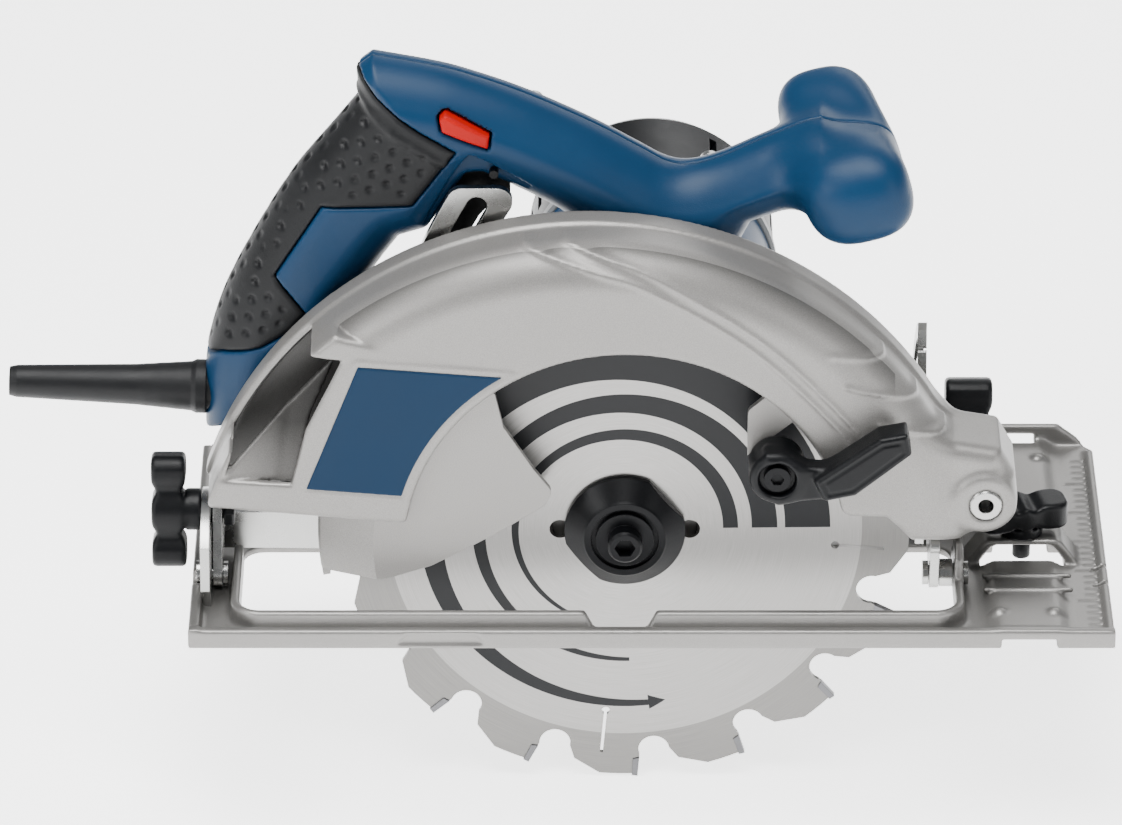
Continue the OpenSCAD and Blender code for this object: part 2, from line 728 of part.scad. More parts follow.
module base_plate() {
    color(base_silver) at_arbor() difference() {
        union() {
            difference() {
                translate([base_rear, base_near, sole_z]) cube([base_len, base_w, base_t]);
                // Corner chamfers of the far side
                for (x = [base_rear, base_front]) translate([x, base_far, sole_z - 1])
                    rotate(45) cube([8, 8, 20], center = true);
            }
            // Upturned edges
            translate([base_rear, base_near, sole_z]) cube([base_len, rim_w, rim_h]);
            translate([base_rear, base_near, sole_z]) cube([rim_w, base_w - 8, rim_h]);
            translate([base_front - 2.6, base_near, sole_z]) cube([2.6, base_w - 8, 4.6]);
            slab(base_far - 2.6, base_far) polygon([
                [base_rear + 6, sole_z], [base_rear + 6, sole_z + 6], [base_rear + 12, sole_z + 10.6],
                [base_front - 12, sole_z + 10.6], [base_front - 6, sole_z + 6], [base_front - 6, sole_z]
            ]);
            // Rim round the blade opening, with a gap beside the blade bolt
            translate([0, 0, sole_z]) linear_extrude(inner_rim_h) difference() {
                offset(delta = 3) opening_outline();
                opening_outline();
                translate([-11, base_near]) square([7, 20]);
                translate([opening_x[0] - 5, opening_y[1] - 12]) square([300, 20]);
            }
            // Raised band over the fence channel
            translate([fence_x - fence_w / 2 - 3, base_near, sole_z])
                cube([fence_w + 6, base_w, band_top - sole_z]);
            // Bridge of the fence clamp
            slab(14, 26) polygon([[fence_x - 19, sole_z + 1], [fence_x - 17.5, band_top - 1],
                [fence_x - 12.5, sole_z + 12.2], [fence_x + 12.5, sole_z + 12.2],
                [fence_x + 17.5, band_top - 1], [fence_x + 19, sole_z + 1]]);
            // Front ear of the bevel pivot
            plate_x(opening_x[1], opening_x[1] + 3) polygon([[-12, sole_z], [-8, bevel_z + 9],
                [-4, bevel_z + 14], [4, bevel_z + 14], [8, bevel_z + 9], [12, sole_z]]);
            // Sighting ridges and pressed bumps
            for (y = [2, -7.5]) translate([fence_x - 11, y - 0.6, band_top - eps]) cube([22, 1.2, 0.7]);
            for (p = [[fence_x - 9, -22], [fence_x + 9, -22], [fence_x + 9, 84], [fence_x - 9, 84]])
                translate([p[0], p[1], band_top - 0.2]) cylinder(h = 1, r1 = 2.6, r2 = 1.4);
        }
        translate([0, 0, sole_z - 1]) linear_extrude(60) opening_outline();
        // Bay under the gear case
        translate([-18, opening_y[1] - 10, sole_z - 1]) cube([36, case_back - opening_y[1] + 12, 20]);
        // Fence channel, its window over the clamp and the see-through below the bridge
        translate([fence_x - fence_w / 2, base_near - 1, sole_z - 1]) cube([fence_w, base_w + 2, fence_h + 1]);
        slab(13, 27) polygon([[fence_x - 14, sole_z - 1], [fence_x - 14, band_top],
            [fence_x - 9.5, sole_z + 10.2], [fence_x + 9.5, sole_z + 10.2],
            [fence_x + 14, band_top], [fence_x + 14, sole_z - 1]]);
        translate([fence_x - 8, base_far - 4, sole_z - 1]) cube([16, 6, 8.4]);
        translate([fence_x, 20, sole_z]) cylinder(h = 20, r = 3.05);
        // Recess in the near edge
        slab(base_near - 1, base_near + 0.8) polygon([[-75, sole_z + 1.4], [-46, sole_z + 1.4],
            [-49, sole_z + 5.2], [-72, sole_z + 5.2]]);
        // Sight notches at the front edge
        for (y = [0, 11]) translate([base_front - 6, y - 1, sole_z - 1]) cube([8, 2, 20]);
        rod_x(0, bevel_z, opening_x[1] - 1, opening_x[1] + 4, 2.55);
        rod_x(0, bevel_z, base_rear - 1, base_rear + rim_w + 1, 4.3);
    }
}

// Plate with the arc slot of the front bevel clamp
module front_quadrant() {
    x = 97.5;
    color(steel) at_arbor() plate_x(x, x + 3) difference() {
        intersection() {
            translate([0, bevel_z]) circle(r = 83);
            polygon([[28, plate_z], [90, plate_z], [90, 90], [39.5, 62], [39.5, 53], [30, 20]]);
        }
        translate([0, bevel_z]) arc_slot(front_clamp_r, 2 * knob_bolt_r + 0.6, front_clamp_a,
                                         front_clamp_a + bevel_range);
        translate([0, bevel_z]) arc_slot(54, 9, 26, 44);
    }
}

// Plate with the arc slot of the rear bevel clamp
module rear_quadrant() {
    x = -139.8;
    color(steel) at_arbor() plate_x(x, x + 3) difference() {
        union() {
            polygon([[-14, plate_z], [26, plate_z], [26, -12], [-14, -12]]);
            intersection() {
                translate([0, bevel_z]) circle(r = 28.5);
                polygon([[-22, -12], [-18, 20], [18, 20], [26, -12]]);
            }
        }
        translate([0, bevel_z]) arc_slot(rear_clamp_r, 2 * knob_bolt_r + 0.6, rear_clamp_a,
                                         rear_clamp_a + bevel_range);
        translate([0, bevel_z]) circle(r = 2.55);
    }
}

// Rivets on the bevel axis
module bevel_pivot_pins() {
    color(steel) at_arbor() {
        turn_x(0, bevel_z, [[0, 98.8], [4, 98.8], [4, 100.7], [2.5, 100.7], [2.5, 104.3], [4.6, 104.3],
            [4.6, 108.7], [2.5, 108.7], [2.5, 112.3], [4, 112.3], [4, 114], [0, 114]]);
        turn_x(0, bevel_z, [[0, -142], [4, -142], [4, -140.1], [2.5, -140.1], [2.5, -133.1],
            [4, -133.1], [4, -131.5], [0, -131.5]]);
    }
}

// Turns a profile of [radius, x] points about an axis along X
module turn_x(y, z, profile) {
    translate([0, y, z]) rotate([0, 90, 0]) rotate_extrude() polygon(profile);
}

// ---------- knobs ----------

// Outline of a wing knob
module wing_outline(span, hub) {
    rounded(1.4) union() {
        circle(r = hub);
        for (a = [0, 180]) rotate(a) polygon([[0, -hub * 0.55], [span * 0.32, -5.4],
            [span / 2, -6.6], [span / 2, 5.6], [span * 0.3, 3.6], [0, hub * 0.75]]);
    }
}

module front_bevel_knob() {
    spot = clamp_spot(front_clamp_r, front_clamp_a);
    color(rubber_black) at_arbor() {
        plate_x(109, 125) translate(spot) rotate(70) wing_outline(32, 7.5);
        rod_x(spot[0], spot[1], 104.5, 109 + eps, 7);
        rod_x(spot[0], spot[1], 97, 105, knob_bolt_r);
        slab_head(spot, 93.4, 97.1);
    }
}

module rear_bevel_knob() {
    spot = clamp_spot(rear_clamp_r, rear_clamp_a);
    color(rubber_black) at_arbor() {
        plate_x(-157, -145.5) translate(spot) rotate(80) wing_outline(38, 7.5);
        rod_x(spot[0], spot[1], -145.5 - eps, -140.4, 7);
        rod_x(spot[0], spot[1], -141, -132, knob_bolt_r);
        slab_head(spot, -133, -129.4);
    }
}

// Hexagonal head of a clamp bolt along X
module slab_head(spot, x0, x1) {
    plate_x(x0, x1) translate(spot) circle(r = 5.6, $fn = 6);
}

module fence_clamp_screw() {
    wing_bottom = -12.5;
    color(rubber_black) at_arbor() translate([fence_x, 20, 0]) {
        translate([0, 0, wing_bottom]) linear_extrude(3.4) circle(r = 7);
        translate([0, 0, wing_bottom + 3]) linear_extrude(9) rotate(12) wing_outline(29, 6);
        translate([0, 0, sole_z + fence_h + 0.1]) cylinder(h = wing_bottom - sole_z - fence_h, r = 3);
    }
}

// ---------- motor ----------

module motor_housing() {
    color(body_blue) at_arbor() difference() {
        rod_y(motor_x, motor_z, case_back, 118, motor_r - 0.6);
        rod_y(motor_x, motor_z, case_back + 2.6, 119, motor_r - 3.4);
        rod_y(motor_x, motor_z, case_back - 1, case_back + 4, 21);
        for (a = [-150, -30]) rod_y(motor_x + 38 * cos(a), motor_z + 38 * sin(a), 100, 119, 1.5);
        rod_y(lock_x, lock_z, case_back - 1, case_back + 7, 6.2);
    }
}

module motor_ring() {
    color(motor_grey) at_arbor() turn_y(motor_x, motor_z, [
        [motor_r - 3.4, 118], [motor_r, 118], [motor_r + 1, 119], [motor_r + 1, 123],
        [motor_r, 124], [motor_r - 3.4, 124]
    ]);
}

module motor_end_cap() {
    vent_count = 14;
    color(plastic_black) at_arbor() difference() {
        union() {
            turn_y(motor_x, motor_z, [
                [motor_r - 3.4, 124], [motor_r, 124], [motor_r, motor_end - 9],
                [motor_r - 2.6, motor_end - 2.8], [motor_r - 9, motor_end], [0, motor_end],
                [0, motor_end - 2.6], [motor_r - 9.6, motor_end - 2.6],
                [motor_r - 3.4, motor_end - 9]
            ]);
            // Seat of the rear armature bearing
            turn_y(motor_x, motor_z, [[11, 143], [13.5, 143], [13.5, motor_end - 2],
                                      [11, motor_end - 2]]);
        }
        // Cooling slots in the end and round the wall
        slab(motor_end - 4, motor_end + 1) translate([motor_x, motor_z])
            for (i = [0 : vent_count - 1]) rotate(i * 360 / vent_count)
                translate([19, -1.3]) square([11, 2.6]);
        translate([motor_x, 0, motor_z]) for (a = [-60 : 12 : 60]) for (s = [0, 180])
            rotate([0, a + s, 0]) translate([motor_r - 6, 136, -1.4]) cube([10, 13, 2.8]);
        for (p = cap_screw_spots) rod_y(p[0], p[1], motor_end - 5, motor_end + 1, 1.6);
    }
}

cap_screw_spots = [for (a = [45, 135, 225, 315]) [motor_x + 16 * cos(a), motor_z + 16 * sin(a)]];

module end_cap_screws() {
    color(steel) at_arbor() for (p = cap_screw_spots) difference() {
        union() {
            rod_y(p[0], p[1], motor_end, motor_end + 1.6, 3);
            rod_y(p[0], p[1], motor_end - 6, motor_end + eps, 1.55);
        }
        slab(motor_end + 0.6, motor_end + 3) translate(p) circle(r = 1.5, $fn = 6);
    }
}

module armature_shaft() {
    color(steel) at_arbor() {
        rod_y(motor_x, motor_z, gear_y[0] - 1, 152, shaft_r);
        slab(gear_y[0], gear_y[1]) translate([motor_x, motor_z])
            rotate(gear_angle + 180 + 180 / pinion_teeth)
                gear_outline(pinion_teeth, gear_module, shaft_r - eps);
    }
}

module armature_core() {
    slots = 12;
    color(steel) at_arbor() slab(70, 108) translate([motor_x, motor_z]) difference() {
        circle(r = 21);
        circle(r = shaft_r);
        for (i = [0 : slots - 1]) rotate(i * 360 / slots) translate([14, -1.6]) square([8, 3.2]);
    }
}

module commutator() {
    bars = 24;
    color(copper) at_arbor() slab(122, 138) translate([motor_x, motor_z]) difference() {
        circle(r = 11);
        circle(r = shaft_r);
        for (i = [0 : bars - 1]) rotate(i * 360 / bars) translate([10.2, -0.3]) square([2, 0.6]);
    }
}

module cooling_fan() {
    blades = 10;
    color(plastic_black) at_arbor() {
        rod_ring(56, 58, 33);
        slab(58 - eps, 65) translate([motor_x, motor_z]) for (i = [0 : blades - 1])
            rotate(i * 360 / blades) translate([14, -1]) square([18, 2]);
        rod_ring(56, 65, 9);
    }
}

// Disc on the armature shaft
module rod_ring(y0, y1, r) {
    slab(y0, y1) translate([motor_x, motor_z]) difference() {
        circle(r = r);
        circle(r = shaft_r);
    }
}

module armature_front_bearing() {
    color(steel) at_arbor() bearing(motor_x, motor_z, [41, 51], tail_bearing_r, shaft_r + run_gap);
}

module armature_rear_bearing() {
    color(steel) at_arbor() bearing(motor_x, motor_z, [143, 151], 11, shaft_r + run_gap);
}

module stator() {
    color([0.45, 0.4, 0.36]) at_arbor() slab(70, 108) translate([motor_x, motor_z]) difference() {
        circle(r = motor_r - 3.5);
        circle(r = 21.8);
        for (a = [0, 180]) rotate(a) translate([0, 29]) square([30, 8], center = true);
    }
}

module brush_holders() {
    color(copper) at_arbor() for (s = [-1, 1]) translate([motor_x + s * 24, 130, motor_z])
        difference() {
            cube([22, 9, 12], center = true);
            cube([23, 5.1, 8.1], center = true);
        }
}

module carbon_brushes() {
    color(rubber_black) at_arbor() for (s = [-1, 1]) translate([motor_x + s * 20.2, 130, motor_z])
        cube([18, 5, 8], center = true);
}

// ---------- handle ----------

// Steps that round the sides: from and to either side of the middle, and how far the outline shrinks
handle_steps = [[0, 8, 0], [8, 12, 1.2], [12, 15, 3.5], [15, handle_w / 2, 7]];

module handle_outline() {
    difference() {
        rounded(2) polygon([
            [-140, 21], [-100, 24], [-30, 24], [36, 36], [37, 88], [42, 98], [60, 104.7], [70, 108],
            [72, 130], [64.2, 135], [57.7, 133.6], [44.5, 127.9], [31.4, 121.6], [21.6, 118.2],
            [14, 118.8], [5.2, 124.6], [-8, 132.3], [-21.1, 139], [-34.2, 145.4], [-47.4, 149.7],
            [-60.5, 154], [-82.8, 158.4], [-88.4, 154], [-87.4, 143.7], [-96.6, 132],
            [-109.7, 115.2], [-122.9, 92.8], [-132.7, 72.7], [-138.3, 54.3], [-140, 40]
        ]);
        opening_of_handle();
    }
    translate([motor_x, motor_z]) circle(r = motor_r);
}

// Opening for the fingers
module opening_of_handle() {
    rounded(3) polygon([
        [-88, 72], [-78.6, 86], [-73.6, 92.8], [-63, 96.2], [-50.7, 115.6], [-47.4, 115.9],
        [-21.1, 101.8], [-15, 96], [-21, 80], [-34, 60], [-58, 56], [-80, 62]
    ]);
}

// Solid shape of the main handle, shrunk on all sides by inset
module handle_body(inset) {
    k = (handle_w / 2 - inset) / (handle_w / 2);
    for (step = handle_steps) for (side = [-1, 1]) {
        a = handle_y + side * step[0] * k;
        b = handle_y + side * step[1] * k;
        slab(min(a, b) - eps, max(a, b)) offset(delta = -step[2] - inset) handle_outline();
    }
}

// Front grip, a crossways knob at the front end of the handle
module front_grip_body() {
    hull() for (p = [[79, 15.5, 116], [67, 15.5, 119.5], [74, 58, 120.5], [66, 58, 119]])
        translate(p) sphere(r = 13.5, $fn = hull_fn);
}

// Area covered by the rubber
module grip_outline() {
    polygon([[-150, 47], [-139, 49], [-132.7, 53.5], [-119.6, 57.9], [-109.7, 63.9],
             [-104.8, 70.6], [-114.7, 84], [-99.2, 109.1], [-69.4, 109.8], [-54.9, 129.5],
             [-67, 137], [-81, 147.5], [-86.5, 154], [-98, 160], [-150, 150]]);
}

grip_t = 2;
handle_screw_spots = [[-72, 146], [-30, 134], [-127, 49], [-52, 36], [28, 112]];
lock_off_spot = [-52.3, 137.8];
sleeve_tilt = 1.8;
trigger_pivot = [-43, 120.5];
trigger_angle = 8;
trigger_half = 6.6;

module trigger_outline() {
    rounded(1.2) polygon([[-63, 95.5], [-52.3, 94], [-48, 102], [-42.5, 108.6], [-37.5, 110.4],
                          [-39, 119], [-47, 124.5], [-55, 116]]);
}

module lock_off_outline() {
    rounded(0.8) polygon([[-9.5, 0.6], [-7, -4.4], [9.5, -2.4], [7.6, 3.4], [-8.4, 4.2]]);
}

// What both handle shells leave free
module handle_spaces() {
    // Gear case inside the collar
    slab(guard_back, case_back + 1) case_outline(0.3);
    // Track of the depth arm
    slab(handle_near - 1, arm_y[1] + 2) translate([pivot_x, pivot_z])
        ring_sector(arm_r - arm_w / 2 - 2, arm_r + arm_w / 2 + 2, arm_from - 1, 228);
    // Recess under the rubber
    difference() {
        slab(handle_near - 1, handle_far + 1) grip_outline();
        handle_body(grip_t + run_gap);
    }
    // Space for the switch, the wires and the trigger
    slab(handle_y - 7.4, handle_y + 7.4) offset(delta = -5) difference() {
        handle_outline();
        translate([-46, 0]) square([200, 200]);
    }
    slab(handle_y - trigger_half - 0.5, handle_y + trigger_half + 0.5) offset(delta = 1.2) {
        trigger_outline();
        translate(trigger_pivot) rotate(-trigger_angle) translate(-trigger_pivot) trigger_outline();
    }
    // Lock-off button
    slab(handle_near - 1, handle_y - 6) translate(lock_off_spot) rotate(-26)
        offset(delta = 0.35) lock_off_outline();
    // Cable sleeve
    sleeve_axis() turn_x(0, 0, [[0, -20], [9.4, -20], [9.4, 9], [0, 9]]);
}

// Places children drawn about the middle of the sleeve where it leaves the handle
module sleeve_axis() {
    translate([-140, handle_y, 35]) rotate([0, sleeve_tilt, 0]) children();
}

module handle_half(y0, y1) {
    difference() {
        union() {
            intersection() {
                union() {
                    difference() {
                        handle_body(0);
                        handle_spaces();
                    }
                    front_grip_body();
                }
                slab(y0, y1) translate([-150, 0]) square([300, 170]);
            }
            for (p = handle_screw_spots) rod_y(p[0], p[1], max(y0, handle_y - 9), min(y1, handle_y + 9), 4.4);
        }
        for (p = handle_screw_spots) {
            rod_y(p[0], p[1], handle_near + 5, handle_far + 1, 1.9);
            rod_y(p[0], p[1], handle_far - 5, handle_far + 1, 3.9);
        }
        rod_y(trigger_pivot[0], trigger_pivot[1], handle_near + 2.9, handle_far - 2.9, 1.55);
    }
}

module handle_near_shell() {
    color(body_blue) at_arbor() handle_half(0, handle_y);
}

module handle_far_shell() {
    color(body_blue) at_arbor() handle_half(handle_y, 80);
}

module grip_cover() {
    color(rubber_black) at_arbor() difference() {
        intersection() {
            handle_body(0);
            slab(handle_near - 1, handle_far + 1) grip_outline();
        }
        handle_body(grip_t);
        for (p = handle_screw_spots) rod_y(p[0], p[1], handle_far - 6, handle_far + 1, 4.4);
    }
}

module handle_screws() {
    color(steel) at_arbor() for (p = handle_screw_spots) difference() {
        union() {
            rod_y(p[0], p[1], handle_near + 6, handle_far - 5 + eps, 1.85);
            rod_y(p[0], p[1], handle_far - 5, handle_far - 2.6, 3.4);
        }
        slab(handle_far - 4, handle_far - 2) translate(p) circle(r = 1.6, $fn = 6);
    }
}

module trigger() {
    color(rubber_black) at_arbor() difference() {
        slab(handle_y - trigger_half, handle_y + trigger_half) trigger_outline();
        rod_y(trigger_pivot[0], trigger_pivot[1], handle_near, handle_far, 1.6);
    }
}

module switch_module() {
    color(plastic_black) at_arbor() {
        slab(handle_y - 6.5, handle_y + 6.5) polygon([[-93, 107], [-76, 101], [-66, 117], [-83, 125]]);
        rod_y(trigger_pivot[0], trigger_pivot[1], handle_near + 3, handle_far - 3, 1.5);
    }
}

module lock_off_button() {
    color(lock_red) at_arbor() slab(handle_near - 1.6, handle_y - 9) translate(lock_off_spot)
        rotate(-26) lock_off_outline();
}

module cable_sleeve() {
    ribs = 4;
    color(rubber_black) at_arbor() sleeve_axis() turn_x(0, 0, concat(
        [[3.6, 8], [9.2, 8], [9.2, 4], [7.6, 4], [7.6, 1], [9, 1], [9, -2.4]],
        [for (i = [0 : ribs - 1]) each [[8.3 - 0.4 * i, -4 - 5 * i], [8 - 0.4 * i, -7 - 5 * i]]],
        [[5.4, -62], [4.8, -64.5], [3.6, -64.5]]
    ));
}

module cable_clamp() {
    color(plastic_black) at_arbor() sleeve_axis() difference() {
        translate([17, 0, 0]) cube([8, 14, 13], center = true);
        rod_x(0, 0, 10, 24, 3.8);
    }
}

// ---------- the saw ----------

fixed_guard();
guard_label_panel();
guard_screws();
gear_case();
gear_case_screws();
spindle();
spindle_gear();
spindle_front_bearing();
spindle_rear_bearing();
inner_flange();
saw_blade();
carbide_teeth();
outer_flange();
blade_bolt();
motor_housing();
motor_ring();
motor_end_cap();
end_cap_screws();
armature_shaft();
armature_core();
commutator();
cooling_fan();
armature_front_bearing();
armature_rear_bearing();
stator();
brush_holders();
carbon_brushes();
handle_near_shell();
handle_far_shell();
grip_cover();
handle_screws();
trigger();
switch_module();
lock_off_button();
cable_sleeve();
cable_clamp();
lower_guard();
guard_lever();
guard_lever_screw();
lower_guard_spring();
guard_retaining_ring();
depth_arm();
rear_bracket();
front_bracket();
depth_pivot_pin();
depth_clamp_bolt();
depth_clamp_lever();
base_plate();
front_quadrant();
rear_quadrant();
bevel_pivot_pins();
front_bevel_knob();
rear_bevel_knob();
fence_clamp_screw();
spindle_lock_button();
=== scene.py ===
"""Looks of the circular saw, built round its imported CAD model. Lengths in this file are in millimetres
about the arbor (X forward, Y to the motor, Z up) unless a name says metres."""
import json
import math
import bpy
import numpy as np
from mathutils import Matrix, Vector


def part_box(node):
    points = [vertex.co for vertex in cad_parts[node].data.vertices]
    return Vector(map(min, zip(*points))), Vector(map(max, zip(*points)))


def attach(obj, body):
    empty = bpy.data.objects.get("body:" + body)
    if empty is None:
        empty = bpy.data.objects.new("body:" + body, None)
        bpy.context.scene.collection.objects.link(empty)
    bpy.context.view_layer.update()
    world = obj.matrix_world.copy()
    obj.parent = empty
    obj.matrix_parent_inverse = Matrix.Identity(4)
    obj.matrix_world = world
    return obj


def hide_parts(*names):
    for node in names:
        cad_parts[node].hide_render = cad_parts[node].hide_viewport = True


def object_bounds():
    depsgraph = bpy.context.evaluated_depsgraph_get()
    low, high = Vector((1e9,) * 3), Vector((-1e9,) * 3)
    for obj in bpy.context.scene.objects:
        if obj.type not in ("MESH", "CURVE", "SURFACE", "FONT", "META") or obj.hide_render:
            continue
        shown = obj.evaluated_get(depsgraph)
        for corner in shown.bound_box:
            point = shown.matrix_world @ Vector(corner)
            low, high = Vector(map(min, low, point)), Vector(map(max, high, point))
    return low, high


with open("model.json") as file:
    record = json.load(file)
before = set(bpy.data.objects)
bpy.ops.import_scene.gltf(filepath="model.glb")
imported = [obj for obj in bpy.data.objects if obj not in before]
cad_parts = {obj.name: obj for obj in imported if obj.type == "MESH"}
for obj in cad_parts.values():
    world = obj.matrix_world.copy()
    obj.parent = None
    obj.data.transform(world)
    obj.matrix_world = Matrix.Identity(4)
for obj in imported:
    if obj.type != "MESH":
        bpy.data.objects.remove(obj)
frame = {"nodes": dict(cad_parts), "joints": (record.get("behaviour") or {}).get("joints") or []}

CAD_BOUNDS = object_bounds()
MM = 0.001
PER_METRE = 1000.0
JOINTS = {j["name"]: j for j in frame["joints"]}
ARBOR = Vector(JOINTS["blade_spin"]["pos_m"])
STEP_SCALE = 1.0


def joint_spot(name):
    """A joint's place in millimetres about the arbor."""
    return (Vector(JOINTS[name]["pos_m"]) - ARBOR) / MM


def node_box(name):
    """A CAD node's corners in millimetres about the arbor."""
    low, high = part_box(name)
    return (low - ARBOR) / MM, (high - ARBOR) / MM


# ---------- signed distances: negative inside, in millimetres ----------

def smax(a, b, k):
    """Intersection with an edge rounded over about k."""
    h = np.maximum(k - np.abs(a - b), 0) / k
    return np.maximum(a, b) + h * h * k * 0.25


def smin(a, b, k):
    """Union with a fillet of about k."""
    return -smax(-a, -b, k)


def polygon(points, x, z):
    """Distance to a closed outline in X and Z."""
    pts = np.array(points, float)
    best = np.full(np.broadcast(x, z).shape, 1e9)
    odd = np.zeros(best.shape, bool)
    for (ax, az), (bx, bz) in zip(pts, np.roll(pts, -1, 0)):
        ex, ez = bx - ax, bz - az
        t = np.clip(((x - ax) * ex + (z - az) * ez) / (ex * ex + ez * ez), 0, 1)
        best = np.minimum(best, (x - ax - t * ex) ** 2 + (z - az - t * ez) ** 2)
        if ez != 0:
            spans = (az > z) != (bz > z)
            odd ^= spans & (x < ax + (z - az) * ex / ez)
    return np.sqrt(best) * np.where(odd, -1, 1)


def line(points, x, z):
    """Distance to an open line in X and Z."""
    best = np.full(np.broadcast(x, z).shape, 1e9)
    for (ax, az), (bx, bz) in zip(points[:-1], points[1:]):
        ex, ez = bx - ax, bz - az
        t = np.clip(((x - ax) * ex + (z - az) * ez) / (ex * ex + ez * ez), 0, 1)
        best = np.minimum(best, (x - ax - t * ex) ** 2 + (z - az - t * ez) ** 2)
    return np.sqrt(best)


def curve(points, per_span=8):
    """A smooth line through points."""
    p = [np.array(q, float) for q in points]
    p = [2 * p[0] - p[1], *p, 2 * p[-1] - p[-2]]
    out = []
    for a, b, c, d in zip(p, p[1:], p[2:], p[3:]):
        for i in range(per_span):
            t = i / per_span
            out.append(0.5 * (2 * b + (c - a) * t + (2 * a - 5 * b + 4 * c - d) * t * t
                              + (3 * b - a - 3 * c + d) * t ** 3))
    return [tuple(q) for q in out] + [tuple(p[-2])]


def box(x, y, z, centre, half, r):
    """A box with round edges."""
    qx = np.abs(x - centre[0]) - half[0] + r
    qy = np.abs(y - centre[1]) - half[1] + r
    qz = np.abs(z - centre[2]) - half[2] + r
    out = np.sqrt(np.maximum(qx, 0) ** 2 + np.maximum(qy, 0) ** 2 + np.maximum(qz, 0) ** 2)
    return out + np.minimum(np.maximum(qx, np.maximum(qy, qz)), 0) - r


def thick(d, t, r):
    """Where two distances meet, such as an outline and a thickness, with the edge rounded by r."""
    a, b = d + r, t + r
    out = np.sqrt(np.maximum(a, 0) ** 2 + np.maximum(b, 0) ** 2)
    return out + np.minimum(np.maximum(a, b), 0) - r


# ---------- from a distance to a mesh ----------

def surface_net(values, low, step):
    """Vertices and quads of the surface where values is 0, one vertex to a cell that it crosses."""
    cells = tuple(n - 1 for n in values.shape)
    count = np.zeros(cells, np.float32)
    total = [np.zeros(cells, np.float32) for _ in range(3)]
    crossings = []
    for axis in range(3):
        u, v = [a for a in range(3) if a != axis]
        near = np.moveaxis(values, axis, 0)[:-1]
        far = np.moveaxis(values, axis, 0)[1:]
        cross = (near < 0) != (far < 0)
        t = np.where(cross, near / np.where(cross, near - far, 1), 0).astype(np.float32)
        crossings.append((cross, near < 0))
        for du in (0, 1):
            for dv in (0, 1):
                part = (slice(None), slice(du, cells[u] + du), slice(dv, cells[v] + dv))
                hit = np.moveaxis(cross[part], 0, axis)
                count += hit
                total[axis] += np.moveaxis(t[part], 0, axis)
                total[u] += hit * du
                total[v] += hit * dv
    active = count > 0
    number = np.full(cells, -1, np.int64)
    number[active] = np.arange(active.sum())
    where = np.argwhere(active)
    share = np.stack([t[active] / count[active] for t in total], 1)
    points = (where + share) * step + np.array(low)
    quads = []
    for axis in range(3):
        u, v = [a for a in range(3) if a != axis]
        cross, inside = crossings[axis]
        grid = np.moveaxis(number, axis, 0)
        mid = (slice(None), slice(1, -1), slice(1, -1))
        hit, solid_first = cross[mid], inside[mid]
        around = [grid[:, :-1, :-1], grid[:, 1:, :-1], grid[:, 1:, 1:], grid[:, :-1, 1:]]
        q = np.stack([a[hit] for a in around], 1)
        flip = solid_first[hit] if axis != 1 else ~solid_first[hit]
        q[~flip] = q[~flip][:, ::-1]
        quads.append(q)
    return points, np.concatenate(quads)


def new_object(name, points, faces):
    """A smooth-shaded mesh object from points in millimetres about the arbor."""
    mesh = bpy.data.meshes.new(name)
    co = (np.asarray(points) * MM + np.array(ARBOR)).astype(np.float32)
    mesh.from_pydata(co.tolist(), [], np.asarray(faces).tolist())
    mesh.polygons.foreach_set("use_smooth", np.full(len(mesh.polygons), True))
    obj = bpy.data.objects.new(name, mesh)
    bpy.context.scene.collection.objects.link(obj)
    return obj


def sculpt(name, field, low, high, step):
    """A piece whose surface is where field(x, y, z) is 0, inside the box from low to high."""
    step *= STEP_SCALE
    axes = [np.arange(a - 1.5 * step, b + 2 * step, step) for a, b in zip(low, high)]
    x, y, z = np.meshgrid(*axes, indexing="ij", sparse=True)
    values = np.broadcast_to(field(x, y, z), [len(a) for a in axes]).astype(np.float32)
    return new_object(name, *surface_net(values, [a[0] for a in axes], step))


def finish_piece(obj, material, body, slot, *nodes):
    """Gives a piece its material and body, and hides the CAD nodes it stands for; the slot argument is
    not used.
    """
    obj.data.materials.clear()
    obj.data.materials.append(material)
    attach(obj, body)
    if nodes:
        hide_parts(*nodes)
    return obj


# ---------- materials ----------

def node_tools(mat):
    """A material's shader, with helpers to add, join and calculate with nodes."""
    tree = mat.node_tree
    shader = next(n for n in tree.nodes if n.type == "BSDF_PRINCIPLED")

    def add(kind, **values):
        node = tree.nodes.new(kind)
        for key, value in values.items():
            if key in node.inputs:
                node.inputs[key].default_value = value
            else:
                setattr(node, key, value)
        return node

    def join(a, out, b, into):
        tree.links.new(a.outputs[out], b.inputs[into])

    def calc(operation, a, b=None):
        node = add("ShaderNodeMath", operation=operation)
        for place, value in enumerate((a, b)):
            if value is None:
                continue
            if isinstance(value, (int, float)):
                node.inputs[place].default_value = value
            else:
                join(value, 0, node, place)
        return node
    return shader, add, join, calc


def new_material(name):
    """An empty node material."""
    mat = bpy.data.materials.new(name)
    mat.use_nodes = True
    return mat


def noise(add, join, coords, scale, detail=3.0, rough=0.5):
    """Noise at a scale given in patches to a metre."""
    node = add("ShaderNodeTexNoise", Scale=scale, Detail=detail, Roughness=rough)
    join(coords, "Object", node, "Vector")
    return node


def ramp(add, join, source, out, stops):
    """A colour ramp with the given (place, colour) stops."""
    node = add("ShaderNodeValToRGB")
    elements = node.color_ramp.elements
    while len(elements) < len(stops):
        elements.new(0.5)
    for element, (place, colour) in zip(elements, stops):
        element.position = place
        element.color = (*colour, 1)
    join(source, out, node, "Fac")
    return node


